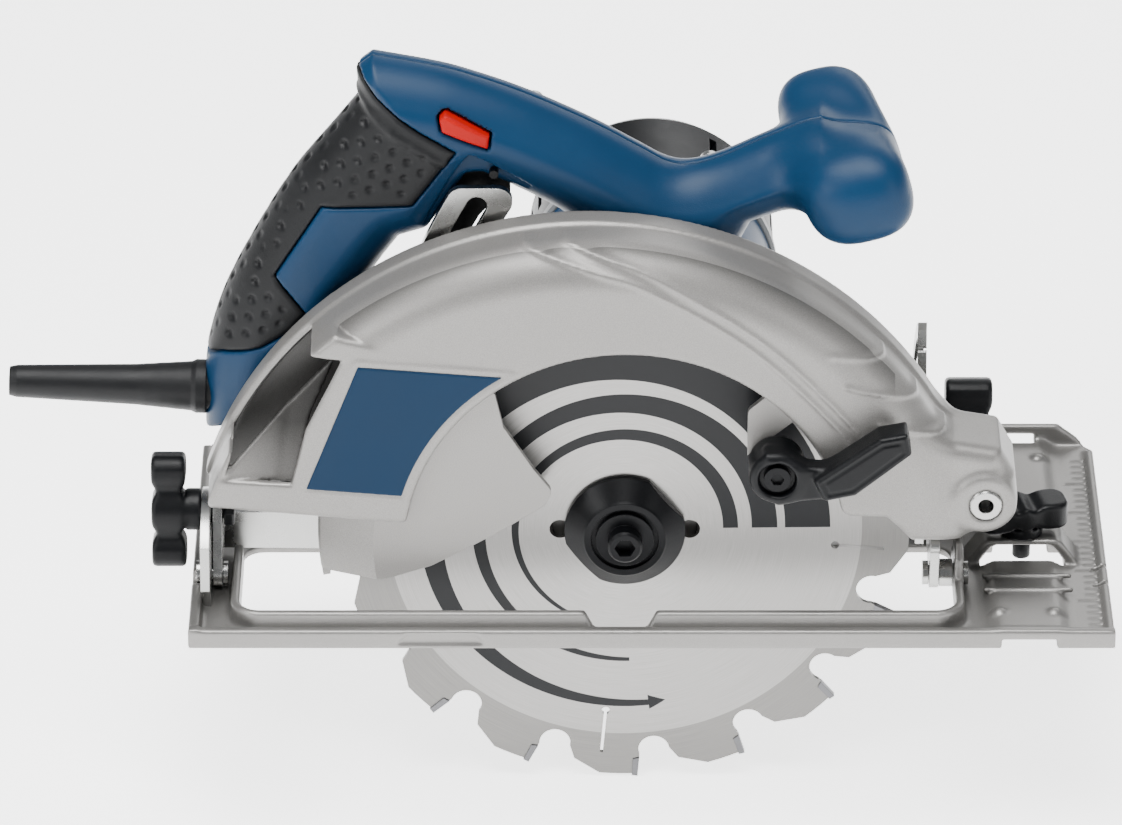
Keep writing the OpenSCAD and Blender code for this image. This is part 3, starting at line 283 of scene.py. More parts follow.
def span(add, join, source, out, low, high, to_low, to_high):
    """Maps a value from one range to another."""
    node = add("ShaderNodeMapRange")
    for key, value in zip(("From Min", "From Max", "To Min", "To Max"), (low, high, to_low, to_high)):
        node.inputs[key].default_value = value
    join(source, out, node, "Value")
    return node


def shade(colour, k):
    """A colour made lighter or darker."""
    return tuple(min(c * k, 1) for c in colour)


def plain(name, colour, rough, metallic=0.0, grain=900.0, grain_depth=0.00004, vary=0.12,
          patch=60.0, edge=0.0004, speckle=0.0, shine=0.5):
    """Moulded, cast or painted surface: grain, patchy colour and gloss, and worn round edges."""
    mat = new_material(name)
    shader, add, join, _ = node_tools(mat)
    coords = add("ShaderNodeTexCoord")
    broad = noise(add, join, coords, patch, 4.0)
    stops = [(0.3, shade(colour, 1 - vary)), (0.7, shade(colour, 1 + vary))]
    tint = ramp(add, join, broad, "Fac", stops)
    fine = noise(add, join, coords, grain, 2.0, 0.6)
    if speckle:
        flakes = noise(add, join, coords, grain * 1.7, 1.0, 0.7)
        flake = span(add, join, flakes, "Fac", 0.35, 0.65, 1 - speckle, 1 + speckle)
        mixed = add("ShaderNodeVectorMath", operation="SCALE")
        join(tint, "Color", mixed, 0)
        join(flake, "Result", mixed, "Scale")
        join(mixed, "Vector", shader, "Base Color")
    else:
        join(tint, "Color", shader, "Base Color")
    gloss = span(add, join, broad, "Fac", 0.3, 0.7, max(rough - 0.05, 0.02), rough + 0.05)
    join(gloss, "Result", shader, "Roughness")
    round_edge = add("ShaderNodeBevel", samples=4, Radius=edge)
    bump = add("ShaderNodeBump", Strength=1.0, Distance=grain_depth)
    join(fine, "Fac", bump, "Height")
    join(round_edge, "Normal", bump, "Normal")
    join(bump, "Normal", shader, "Normal")
    shader.inputs["Metallic"].default_value = metallic
    shader.inputs["Specular IOR Level"].default_value = shine
    return mat


GUARD_LOOK = ((0.205, 0.199, 0.190), 0.42, 0.55)
GUARD_GRAIN = {"grain": 2200.0, "grain_depth": 0.00005, "vary": 0.03, "patch": 18.0, "speckle": 0.14}
GUARD_SILVER = plain("guard_silver", *GUARD_LOOK, **GUARD_GRAIN)
BASE_SILVER = plain("base_silver", (0.20, 0.195, 0.187), 0.4, 0.7, grain=1800.0, vary=0.05,
                    patch=25.0, speckle=0.06)
CASE_SILVER = plain("case_silver", (0.2, 0.197, 0.19), 0.5, 0.8, vary=0.06)
ZINC = plain("zinc_plate", (0.36, 0.36, 0.35), 0.27, 1.0, grain=400.0, grain_depth=0.00001,
             vary=0.05, patch=120.0)
STEEL = plain("ground_steel", (0.35, 0.35, 0.355), 0.25, 1.0, grain=700.0, grain_depth=0.00001)
BLACK_STEEL = plain("black_oxide", (0.0028, 0.003, 0.0036), 0.36, 0.3, grain=1500.0,
                    grain_depth=0.00003, vary=0.2, shine=0.16)
CARBIDE = plain("ground_carbide", (0.12, 0.12, 0.125), 0.34, 0.9, grain=1600.0, vary=0.1)
BLUE = plain("blue_plastic", (0.0020, 0.022, 0.058), 0.38, grain=2600.0, grain_depth=0.00005,
             vary=0.04, patch=30.0, shine=0.16)
LABEL_BLUE = plain("label_blue", (0.0011, 0.0155, 0.041), 0.45, grain=900.0, grain_depth=0.000005,
                   vary=0.05, patch=30.0, shine=0.12)
BLACK_PLASTIC = plain("black_plastic", (0.0026, 0.0029, 0.0035), 0.38, grain=2200.0,
                      grain_depth=0.00006, vary=0.15, shine=0.15)
RUBBER = plain("black_rubber", (0.0028, 0.0031, 0.0037), 0.5, grain=1800.0, grain_depth=0.00006,
               vary=0.12, edge=0.0006, shine=0.22)
GREY_PLASTIC = plain("grey_plastic", (0.09, 0.095, 0.10), 0.42, grain=2200.0, vary=0.08)
RED = plain("red_plastic", (0.30, 0.0012, 0.0006), 0.4, grain=1500.0, grain_depth=0.00002,
            vary=0.06, shine=0.12)
COPPER = plain("copper", (0.55, 0.24, 0.12), 0.3, 1.0, grain=600.0)
CARBON = plain("carbon", (0.02, 0.02, 0.021), 0.6, grain=3000.0)
LAMINATED = plain("laminated_steel", (0.12, 0.10, 0.09), 0.5, 0.6, grain=1200.0, vary=0.2)
SLOT_MATERIALS = {
    "guard_casting": GUARD_SILVER, "label_blue": LABEL_BLUE, "zinc_steel": ZINC,
    "die_cast": CASE_SILVER, "machined_steel": STEEL, "carbide": CARBIDE,
    "black_oxide": BLACK_STEEL, "blue_plastic": BLUE, "grey_plastic": GREY_PLASTIC,
    "black_plastic": BLACK_PLASTIC, "black_rubber": RUBBER, "red_plastic": RED,
    "copper": COPPER, "carbon": CARBON, "laminated_steel": LAMINATED, "base_metal": BASE_SILVER,
}


# Printed arcs of the blade: outer radius, width at the start, width at the end, angle of the end
BLADE_ARCS = ((68, 15, 2.2, 277), (50.5, 8.5, 1.4, 272), (37.5, 5, 1.2, 240))
ARROW_TURN, ARROW_LENGTH, ARROW_R = 277.0, 5.0, 66.8
TOOTH_RING_R = 78.5


def blade_material():
    """Ground steel with circular scratches, a darker tooth ring and printed tapering arcs."""
    mat = new_material("printed_blade")
    shader, add, join, calc = node_tools(mat)
    coords = add("ShaderNodeTexCoord")
    centred = add("ShaderNodeVectorMath", operation="SUBTRACT")
    join(coords, "Object", centred, 0)
    centred.inputs[1].default_value = ARBOR
    parts = add("ShaderNodeSeparateXYZ")
    join(centred, "Vector", parts, 0)
    x, z = calc("MULTIPLY", 0, PER_METRE), calc("MULTIPLY", 0, PER_METRE)
    join(parts, "X", x, 0)
    join(parts, "Z", z, 0)
    radius = calc("SQRT", calc("ADD", calc("MULTIPLY", x, x), calc("MULTIPLY", z, z)))
    turn = calc("DIVIDE", calc("ARCTAN2", z, x), 2 * math.pi)
    angle = calc("MULTIPLY", calc("FRACT", calc("ADD", turn, 1.0)), 360.0)
    ink = None
    for outer, start_w, end_w, end in BLADE_ARCS:
        fade = calc("POWER", calc("DIVIDE", angle, float(end)), 1.35)
        width = calc("SUBTRACT", float(start_w), calc("MULTIPLY", fade, float(start_w - end_w)))
        inside = calc("MULTIPLY", calc("LESS_THAN", radius, float(outer)),
                      calc("GREATER_THAN", radius, calc("SUBTRACT", float(outer), width)))
        arc_part = calc("MULTIPLY", inside, calc("MULTIPLY", calc("LESS_THAN", angle, float(end)),
                                                 calc("GREATER_THAN", angle, 0.6)))
        ink = arc_part if ink is None else calc("MAXIMUM", ink, arc_part)
    # Arrowhead at the end of the outer arc
    past = calc("SUBTRACT", angle, ARROW_TURN)
    half = calc("MULTIPLY", calc("SUBTRACT", ARROW_LENGTH, past), 0.55)
    off = calc("ABSOLUTE", calc("SUBTRACT", radius, ARROW_R))
    arrow = calc("MULTIPLY", calc("LESS_THAN", off, half), calc("GREATER_THAN", past, 0.0))
    front = calc("LESS_THAN", 0, -0.0007)
    join(parts, "Y", front, 0)
    ink = calc("MULTIPLY", calc("MAXIMUM", ink, arrow), front)
    # Circular grinding marks
    rings = add("ShaderNodeCombineXYZ")
    join(calc("MULTIPLY", radius, 0.9), 0, rings, "X")
    join(calc("MULTIPLY", angle, 0.008), 0, rings, "Y")
    marks = add("ShaderNodeTexNoise", Scale=6.0, Detail=6.0, Roughness=0.7)
    join(rings, "Vector", marks, "Vector")
    steel = ramp(add, join, marks, "Fac", [(0.3, (0.21, 0.205, 0.198)), (0.7, (0.30, 0.294, 0.285))])
    dark = ramp(add, join, marks, "Fac", [(0.3, (0.13, 0.127, 0.122)), (0.7, (0.19, 0.186, 0.178))])
    outer_ring = calc("GREATER_THAN", radius, TOOTH_RING_R)
    body = add("ShaderNodeMix", data_type="RGBA")
    join(outer_ring, 0, body, 0)
    join(steel, "Color", body, 6)
    join(dark, "Color", body, 7)
    printed = add("ShaderNodeMix", data_type="RGBA")
    join(ink, 0, printed, 0)
    join(body, 2, printed, 6)
    printed.inputs[7].default_value = (0.0045, 0.005, 0.006, 1)
    around = add("ShaderNodeTangent", direction_type="RADIAL", axis="Y")
    join(around, "Tangent", shader, "Tangent")
    shader.inputs["Anisotropic"].default_value = 0.75
    join(printed, 2, shader, "Base Color")
    join(calc("SUBTRACT", 0.95, calc("MULTIPLY", ink, 0.9)), 0, shader, "Metallic")
    join(calc("SUBTRACT", 0.5, calc("MULTIPLY", ink, 0.3)), 0, shader, "Specular IOR Level")
    gloss = span(add, join, marks, "Fac", 0.3, 0.7, 0.28, 0.42)
    join(gloss, "Result", shader, "Roughness")
    bump = add("ShaderNodeBump", Strength=0.6, Distance=0.00002)
    join(marks, "Fac", bump, "Height")
    join(bump, "Normal", shader, "Normal")
    return mat


SLOT_MATERIALS["blade_steel"] = blade_material()


# ---------- handle: two shells, crosswise front knob and rubber grip ----------

HANDLE_Y, HANDLE_HALF = 34.0, 17.0
HANDLE_SIDE = [
    (-140, 21), (-100, 24), (-30, 24), (36, 36), (37, 88), (42, 98), (60, 104.7), (70, 108),
    (72, 130)] + curve([
        (64.2, 135), (57.7, 133.6), (44.5, 127.9), (31.4, 121.6), (21.6, 118.6), (14, 119.6),
        (5.2, 124.6), (-8, 132.3), (-21.1, 139), (-34.2, 145.0), (-47.4, 150.0), (-60.5, 154),
        (-82.8, 158.4)], 5) + [(-88.4, 154)] + curve([
            (-87.4, 143.7), (-96.6, 132), (-109.7, 115.2), (-122.9, 92.8), (-132.7, 72.7),
            (-138.3, 54.3), (-140, 40)], 5)
HAND_OPENING = [(-88, 72), (-78.6, 86), (-73.6, 92.8), (-63, 96.2), (-50.7, 115.6)] + curve([
    (-47.4, 115.9), (-34, 109.4), (-21.1, 101.8), (-15, 94), (-21, 80), (-34, 62), (-58, 56),
    (-80, 62)], 4)
GRIP_SIDE = [
    (-150, 47), (-139, 49), (-132.7, 53.5), (-119.6, 57.9), (-109.7, 63.9), (-104.8, 70.6),
    (-114.7, 84), (-99.2, 109.1), (-69.4, 109.8), (-54.9, 129.5), (-67, 137), (-81, 147.5),
    (-86.5, 154), (-98, 160), (-150, 150)]
LOCK_OFF = [(-9.5, 0.2), (-6.8, -3.4), (9.6, -2.6), (8.0, 1.9), (-8.4, 2.6)]
TRIGGER = [(-63, 95.5), (-52.3, 94), (-48, 102), (-42.5, 108.6), (-37.5, 110.4), (-39, 119),
           (-47, 124.5), (-55, 116)]
TRIGGER_PIN, TRIGGER_TURN = (-43, 120.5), math.radians(8)
COLLAR = curve([(-93, 152), (-84.5, 143), (-70.5, 132.5), (-59, 125)])
LOCK_SPOT, LOCK_TURN = (-52.3, 137.8), math.radians(-26)
MOTOR_X, MOTOR_Z = 10.0, 33.0
PIVOT_X, PIVOT_Z = 118.4, 17.0
HANDLE_COLLAR_R, GEAR_CASE_R, MOTOR_FREE_R = 42, 24.4, 37.9
ARM_R, ARM_TRACK_HALF, ARM_TRACK_BACK = 191, 12, 23.5
ARM_TRACK_FROM, ARM_TRACK_TO = 146.5, 228
HANDLE_STEP, GRIP_STEP, FINE_STEP, KNOB_STEP, CASTING_STEP = 0.7, 0.55, 0.35, 0.5, 0.8


def lock_plane(x, z):
    """X and Z turned into the lock-off button's own directions."""
    dx, dz = x - LOCK_SPOT[0], z - LOCK_SPOT[1]
    c, s = math.cos(LOCK_TURN), math.sin(LOCK_TURN)
    return dx * c + dz * s, -dx * s + dz * c


def handle_side(x, z):
    """Side outline of the handle with its hand opening and the collar round the gear case."""
    d = smax(polygon(HANDLE_SIDE, x, z), -polygon(HAND_OPENING, x, z), 5)
    return smin(d, np.hypot(x - MOTOR_X, z - MOTOR_Z) - HANDLE_COLLAR_R, 6)


def handle_body(x, y, z):
    """The handle before anything is cut: a soft bar with a crease along each shoulder."""
    d = handle_side(x, z)
    off = np.abs(y - HANDLE_Y)
    f = smax(d, off - HANDLE_HALF, 5)
    chamfer = (13 * (off - 8.0) + 8.6 * d) / math.hypot(13, 8.6)
    return smax(smax(d, chamfer, 9), f, 1.6)


def front_knob(x, y, z):
    """Crosswise knob: a lobe at each end, the far one higher and further back."""
    t = np.clip((y - 15.5) / 43.0, -0.6, 1.4)
    cx, cz = 75.0 - 8.0 * t, 117.2 + 6.8 * t
    rx, rz = 17.8 - 1.6 * t, 15.2 - 0.8 * t
    waist = np.exp(-((y - 37) / 11.0) ** 2)
    along = (x - cx - 1.2 * waist) * 0.96 + (z - cz) * 0.26
    across = (z - cz + 2.6 * waist) * 0.96 - (x - cx) * 0.26
    side = (np.abs(along / rx) ** 2.7 + np.abs(across / (rz - 1.6 * waist)) ** 2.7) ** (1 / 2.7)
    near_end, far_end = 1.0 - y, y - 72.5
    return smax(smax((side - 1) * 15, near_end, 15), far_end, 17)


def handle_cuts(x, y, z):
    """What the blue shells leave free: gear case, depth arm track, trigger and lock-off pocket."""
    case = smin(np.hypot(x, z) - GEAR_CASE_R,
                np.hypot(x - MOTOR_X, z - MOTOR_Z) - MOTOR_FREE_R, 0.1)
    cut = np.maximum(case, y - 53)
    reach = np.hypot(x - PIVOT_X, z - PIVOT_Z)
    turn = np.degrees(np.arctan2(z - PIVOT_Z, x - PIVOT_X)) % 360
    track = np.maximum(np.abs(reach - ARM_R) - ARM_TRACK_HALF, y - ARM_TRACK_BACK)
    track = np.maximum(track, np.where((turn > ARM_TRACK_FROM) & (turn < ARM_TRACK_TO), -1, 1) * 5)
    cut = np.minimum(cut, track)
    c, s = math.cos(TRIGGER_TURN), math.sin(TRIGGER_TURN)
    px, pz = x - TRIGGER_PIN[0], z - TRIGGER_PIN[1]
    pressed = polygon(TRIGGER, px * c - pz * s + TRIGGER_PIN[0], px * s + pz * c + TRIGGER_PIN[1])
    trigger = np.minimum(polygon(TRIGGER, x, z), pressed)
    trigger = np.maximum(trigger - 1.3, np.abs(y - HANDLE_Y) - 7.4)
    cut = np.minimum(cut, trigger)
    lx, lz = lock_plane(x, z)
    pocket = np.maximum(polygon(LOCK_OFF, lx, lz) - 0.75, y - (HANDLE_Y - 5.0))
    return np.minimum(cut, pocket)


def blue_shell(sign):
    """Field of one blue shell, sign -1 for the near one."""
    def field(x, y, z):
        body = handle_body(x, y, z)
        f = smin(body, front_knob(x, y, z), 9)
        recess = np.maximum(grip_area(x, z), -(body + 2.2))
        f = np.maximum(f, -recess)
        f = np.maximum(f, -handle_cuts(x, y, z))
        groove = 0.5 * np.clip(1 - np.abs(y - HANDLE_Y) / 0.9, 0, 1)
        return np.maximum(f + groove, -sign * (y - HANDLE_Y) + 0.05)
    return field


def grip_area(x, z):
    """Side outline of the rubber."""
    return polygon(GRIP_SIDE, x, z)


def rubber(x, y, z):
    """The rubber: level with the handle's skin, with round edges, dimples and a ridge at the top."""
    area = grip_area(x, z)
    skin = handle_body(x, y, z)
    f = smax(skin, area + 0.35, 1.6)
    # Dimples on a slanted lattice over both sides, left out near the edge
    u, v = (x * 0.94 + z * 0.34) / 6.0, (z * 0.94 - x * 0.34) / 5.2
    row = np.floor(v)
    cu = (u + 0.5 * (row % 2)) % 1 - 0.5
    cv = v % 1 - 0.5
    spot = np.hypot(cu * 6.0, cv * 5.2)
    side = np.clip((-handle_side(x, z) - 3.5) / 1.5, 0, 1) * np.clip((-area - 4) / 1.5, 0, 1)
    dimple = 0.95 * np.clip(1 - (spot / 1.5) ** 2, 0, 1) * side
    # The back of the grip has its own lattice along its width
    w = z / 5.4
    bu = ((y - HANDLE_Y) / 6.0 + 0.5 * (np.floor(w) % 2)) % 1 - 0.5
    back_spot = np.hypot(bu * 6.0, (w % 1 - 0.5) * 5.4)
    back = np.clip((handle_side(x, z) + 2.5) / 1.5, 0, 1) * np.clip((-area - 4) / 1.5, 0, 1)
    back = back * np.clip((15 - np.abs(y - HANDLE_Y)) / 2, 0, 1)
    dimple = dimple + 0.95 * np.clip(1 - (back_spot / 1.5) ** 2, 0, 1) * back
    # Ridge of the collar at the top
    ridge = 0.8 * np.exp(-((line(COLLAR, x, z)) / 1.4) ** 2)
    return np.maximum(f + dimple * (1 - ridge) - ridge * 0.9, -(skin + 2.2))


near_shell = sculpt("handle_shell_near", blue_shell(-1), (-142, 0.5, 14), (94, 34.2, 160),
                    HANDLE_STEP)
finish_piece(near_shell, BLUE, "saw_body", "blue_plastic", "handle_near_shell")
far_shell = sculpt("handle_shell_far", blue_shell(1), (-142, 33.8, 14), (94, 74, 160), HANDLE_STEP)
finish_piece(far_shell, BLUE, "saw_body", "blue_plastic", "handle_far_shell")
rubber_grip = sculpt("rubber_grip", rubber, (-142, 16, 44), (-52, 52, 160), GRIP_STEP)
finish_piece(rubber_grip, RUBBER, "saw_body", "black_rubber", "grip_cover")


def lock_button(x, y, z):
    """Red lock-off button with a soft crown."""
    lx, lz = lock_plane(x, z)
    side = polygon(LOCK_OFF, lx, lz)
    return thick(side + 0.1, np.abs(y - 20.1) - 4.9 + 0.01 * (lx + 1) ** 2, 1.0)


lock_off = sculpt("lock_off_cap", lock_button, (-66, 14, 128), (-40, 27, 148), FINE_STEP)
finish_piece(lock_off, RED, "lock_off_button", "red_plastic", "lock_off_button")


# ---------- fixed guard: one casting with a soft front edge ----------

GUARD_X, GUARD_Z, GUARD_R = -12.0, -22.5, 132.5
GUARD_SIDE = [
    (-150, 16.9), (-75.3, 10.3), (-71.8, 10.1), (-60, 0), (60, 0), (71.2, 13.8), (74, 12.6),
    (85.6, 12.3), (94.5, 4.2), (110, 4.2), (114, 8), (140, 8), (140, 120), (-150, 120)]
GUARD_BACK_LUG = [(-82, 12), (-80, -10), (-76, -12), (-60, -12), (-54, -8), (-40, -20), (0, -24),
                  (40, -20), (80, 6), (86, 14)]
NOSE = [(94, 5.5), (110, 4.6), (117, 6.6), (127, 14), (128.2, 26), (123, 35.5), (108, 38), (94, 44)]
CHUTE = [(-105.5, 72), (-92.5, 70.3), (-104.6, 45), (-109.6, 25), (-131.5, 26.4), (-125.5, 46),
         (-119.5, 56.1), (-113, 64.5)]
PLATE = [(-103, 82), (-90.7, 78.4), (-39, 67), (-60, 40), (-70, 12), (-77, 9), (-155, 16),
         (-155, 60), (-125, 92)]
LABEL = [(-87.2, 68.6), (-38, 64.6), (-50, 30), (-72.4, 20.8), (-104.6, 23.5)]
WINDOW_R, LABEL_ARC_R, GUARD_FRONT = 72.5, 76.3, -16
SWEEPS = [
    curve([(-44, 109.5), (-28, 106.8), (-10, 102), (8.4, 95.6), (41.3, 74.5), (69.2, 46.1), (78, 32)]),
    curve([(-34, 112), (-22, 110), (-6, 105.6), (12, 98.8), (45, 77), (73, 48), (82, 33)])]
RIBS = [[(67, 72), (92, 66)], [(72, 61), (99, 53)], [(83, 47), (107, 41)]]


def guard_field(x, y, z):
    """The casting: drum, plate with chute, nose with pivot boss, window and embossed lines."""
    rho = np.hypot(x - GUARD_X, z - GUARD_Z)
    front_rim = np.clip((7.5 - y) / 1.2, 0, 1) * 1.1
    drum = thick(rho - GUARD_R + front_rim, GUARD_FRONT - y, 14)
    window = WINDOW_R - np.hypot(x, z)
    flat = thick(np.maximum(rho - GUARD_R + front_rim, polygon(PLATE, x, z)), GUARD_FRONT - y,
                 2.2)
    outer = smin(drum, flat, 0.4)
    outer = smax(outer, y - 16, 1.5)
    cut_side = polygon(GUARD_SIDE, x, z)
    with_lug = np.minimum(cut_side, polygon(GUARD_BACK_LUG, x, z))
    side = smax(outer, np.where(y < 12, cut_side, with_lug), 2.0)
    boss = smax(np.hypot(x - PIVOT_X, z - PIVOT_Z) - 10, np.abs(y - 0.3) - 16.3, 2.0)
    nose = smax(polygon(NOSE, x, z), np.abs(y - 1) - 15, 6)
    body = smin(side, smin(nose, boss, 4), 5)
    ridge = np.zeros(1)
    for sweep in SWEEPS:
        ridge = ridge + 0.85 * np.exp(-(line(sweep, x, z) / 0.85) ** 2)
    for rib in RIBS:
        ridge = ridge + 0.8 * np.exp(-(line(rib, x, z) / 0.8) ** 2)
    body = body - ridge * (y < 4)
    # Raised frame round the label
    label = polygon(LABEL, x, z)
    label = np.maximum(label, LABEL_ARC_R - np.hypot(x, z))
    frame_edge = 0.5 * np.clip(1 - np.abs(label - 1.6) / 1.3, 0, 1)
    body = body - frame_edge * (y < -12)
    # Hollow, window, chute, bores
    inner = thick(rho - GUARD_R + 3, -13 - y, 11)
    room = polygon([(-150, -30), (92, -30), (93, 14), (106, 40), (106, 120), (-150, 120)], x, z)
    room = np.maximum(room, 15 - np.hypot(x - PIVOT_X, z - PIVOT_Z))
    hollow = np.maximum(np.maximum(inner, y - 12), room)
    hollow = np.minimum(hollow, np.maximum(np.hypot(x, z) - 96.5, np.abs(y) - 3.5))
    body = smax(body, -hollow, 0.6)
    body = smax(body, -np.maximum(-window, y + 8), 1.6)
    # The chip chute: an opening with a sloping wall that runs in from its lower rear corner
    chute = polygon(CHUTE, x, z)
    body = smax(body, -np.maximum(chute, y - 6), 1.8)
    run = (x + 131) * 0.62 + (z - 26) * 0.78
    fold = np.maximum(x + 113.5 - (z - 26) * 0.16, 0) * 0.35
    wall_y = -14.2 + run * 0.46 - fold
    sheet = np.maximum((np.abs(y - wall_y) - 1.1) * 0.88, chute - 1.5)
    body = np.minimum(body, smax(sheet, z - 27.5 - (x + 132) * 0.95, 1.0))
    body = np.maximum(body, 5.55 - np.hypot(x - PIVOT_X, z - PIVOT_Z))
    body = np.maximum(body, -np.maximum(np.hypot(x, z) - 24.1, 9 - y))
    return np.maximum(body, -np.maximum(np.hypot(x - CLAMP_X, z - CLAMP_Z) - 3.05, 5 - y))


CLAMP_LOW, CLAMP_HIGH = node_box("depth_clamp_bolt")
CLAMP_X = (CLAMP_LOW.x + CLAMP_HIGH.x) / 2
CLAMP_Z = (CLAMP_LOW.z + CLAMP_HIGH.z) / 2


def casting_with_painted_shade():
    """The guard's silver, with shade painted into its colour on the walls inside the hollow, darker
    further back from the front face.
    """
    mat = plain("cast_guard_silver", *GUARD_LOOK, **GUARD_GRAIN)
    shader, add, join, calc = node_tools(mat)
    colour = shader.inputs["Base Color"].links[0].from_node
    coords = add("ShaderNodeTexCoord")
    parts = add("ShaderNodeSeparateXYZ")
    join(coords, "Object", parts, 0)
    x, y, z = (calc("MULTIPLY", 0, PER_METRE) for _ in range(3))
    for axis, value in (("X", x), ("Y", y), ("Z", z)):
        join(parts, axis, value, 0)
    across = calc("SUBTRACT", x, ARBOR.x / MM + GUARD_X)
    up = calc("SUBTRACT", z, ARBOR.z / MM + GUARD_Z)
    rho = calc("SQRT", calc("ADD", calc("MULTIPLY", across, across), calc("MULTIPLY", up, up)))
    # Painted shade: the walls inside the hollow are darkened by their position, standing in for shadow.
    inside = calc("MULTIPLY", calc("LESS_THAN", rho, GUARD_R - 2.0), calc("LESS_THAN", across, 100.0))
    inside = calc("MULTIPLY", inside, calc("LESS_THAN", y, 14.5))
    depth = span(add, join, y, 0, -13.5, -4.0, 0.0, 0.78)
    painted_shade_factor = calc("SUBTRACT", 1.0, calc("MULTIPLY", inside, depth))
    colour_with_painted_shade = add("ShaderNodeVectorMath", operation="SCALE")
    join(colour, 0, colour_with_painted_shade, 0)
    join(painted_shade_factor, 0, colour_with_painted_shade, "Scale")
    join(colour_with_painted_shade, "Vector", shader, "Base Color")
    return mat


guard = sculpt("guard_casting", guard_field, (-146, -17, -26), (131, 17.5, 112), CASTING_STEP)
finish_piece(guard, casting_with_painted_shade(), "saw_body", "guard_casting", "fixed_guard")


def label_field(x, y, z):
    """Thin label set into its frame."""
    d = np.maximum(polygon(LABEL, x, z), LABEL_ARC_R - np.hypot(x, z))
    return thick(d, np.abs(y - GUARD_FRONT) - 0.6, 0.3)


label_panel = sculpt("label_panel", label_field, (-106, -17.2, 19), (-36, -15, 70), FINE_STEP)
finish_piece(label_panel, LABEL_BLUE, "saw_body", "label_blue", "guard_label_panel")


# ---------- lever of the lower guard and the clamp knobs ----------

LEVER_X, LEVER_Z = 49.5, 32.6


def lever_field(x, y, z):
    """Hub round the screw, an arm to the elbow and a straight thumb bar."""
    from_screw = np.hypot(x - LEVER_X, z - LEVER_Z)
    hub = thick(from_screw - 9.2, np.abs(y + 19.3) - 7.7, 2.2)
    arm_side = polygon([(46, 41), (55, 37.4), (66, 36.6), (71, 38), (74, 27), (64, 25), (50, 23.6)], x, z)
    arm = thick(arm_side, np.abs(y + 23) - 4, 1.8)
    bar_side = polygon([(61.5, 33.5), (82.5, 49), (91.5, 50.8), (93, 43.4), (75, 28.2), (65, 26)], x, z)
    bar = thick(bar_side, np.abs(y + 24.5) - 5.5, 1.5)
    body = smin(smin(hub, arm, 3), bar, 2)
    dish = smax(from_screw - 6.2, y + 24.2, 0.5)
    body = smax(body, -dish, 1.0)
    rib = 0.5 * np.exp(-((bar_side + 2.4) / 0.6) ** 2) * (y < -28)
    return np.maximum(body + rib, 2.05 - from_screw)


lever = sculpt("guard_lever_arm", lever_field, (39, -30.2, 22), (94, -11.4, 52), KNOB_STEP)
finish_piece(lever, BLACK_PLASTIC, "lower_guard", "black_plastic", "guard_lever")


def round_box(a, b, low_a, high_a, low_b, high_b, r):
    """Distance to a rectangle with round corners."""
    return thick(np.abs(a - (low_a + high_a) / 2) - (high_a - low_a) / 2,
                 np.abs(b - (low_b + high_b) / 2) - (high_b - low_b) / 2, r)


def wing(a, b, t, length, half):
    """Wing knob in its own directions: a along the wings, b across, t along the screw."""
    lobe_at = length / 2 - 5.2
    lobes = round_box(np.abs(a), b, lobe_at - 5.2, lobe_at + 5.2, -6.6, 6.6, 4.6)
    bar = np.maximum(np.abs(b) - 4.6, np.abs(a) - lobe_at)
    side = smin(smin(lobes, bar, 3), np.hypot(a, b) - 7.4, 4)
    dip = 1.3 * np.exp(-((np.abs(a) - lobe_at + 6.8) / 2.2) ** 2)
    return smax(side, np.abs(t) - half + dip, 1.8)


def turned(p, q, centre, degrees):
    """Two coordinates about a centre, turned by an angle."""
    c, s = math.cos(math.radians(degrees)), math.sin(math.radians(degrees))
    return (p - centre[0]) * c + (q - centre[1]) * s, -(p - centre[0]) * s + (q - centre[1]) * c


def hexagon(p, q, size):
    """Distance to a hexagon whose corners are size from its middle."""
    p, q = np.abs(p), np.abs(q)
    return np.maximum(q * 0.866 + p * 0.5, p) - size * 0.866


FRONT_KNOB = joint_spot("front_knob_turn")
REAR_KNOB = joint_spot("rear_knob_turn")
FENCE_X, FENCE_Y = 132.75, 20
FRONT_TURN, REAR_TURN, FENCE_TURN = 70, 80, 12


def front_knob_field(x, y, z):
    """Front bevel knob with its screw."""
    a, b = turned(y, z, (FRONT_KNOB.y, FRONT_KNOB.z), FRONT_TURN)
    r = np.hypot(a, b)
    body = smin(wing(a, b, x - 117, 33, 8.0), thick(r - 7, np.abs(x - 107) - 2.4, 0.6), 1.2)
    screw = np.minimum(np.maximum(r - 3, np.abs(x - 101) - 6),
                       thick(hexagon(a, b, 5.6), np.abs(x - 95.25) - 1.85, 0.4))
    return np.minimum(body, screw)


def rear_knob_field(x, y, z):
    """Rear bevel knob with its screw."""
    a, b = turned(y, z, (REAR_KNOB.y, REAR_KNOB.z), REAR_TURN)
    r = np.hypot(a, b)
    body = smin(wing(a, b, x + 151.2, 38.5, 5.7), thick(r - 7, np.abs(x + 143) - 2.6, 0.6), 1.2)
    screw = np.minimum(np.maximum(r - 3, np.abs(x + 136.5) - 4.5),
                       thick(hexagon(a, b, 5.6), np.abs(x + 131.2) - 1.8, 0.4))
    return np.minimum(body, screw)


def fence_screw_field(x, y, z):
    """Clamp screw of the parallel fence with a flat wing."""
    a, b = turned(x, y, (FENCE_X, FENCE_Y), FENCE_TURN)
    r = np.hypot(a, b)
    body = smin(wing(a, b, z + 5.0, 30, 4.6), thick(r - 7, np.abs(z + 10.8) - 1.7, 0.5), 1.0)
    return np.minimum(body, np.maximum(r - 3, np.abs(z + 16.6) - 5))


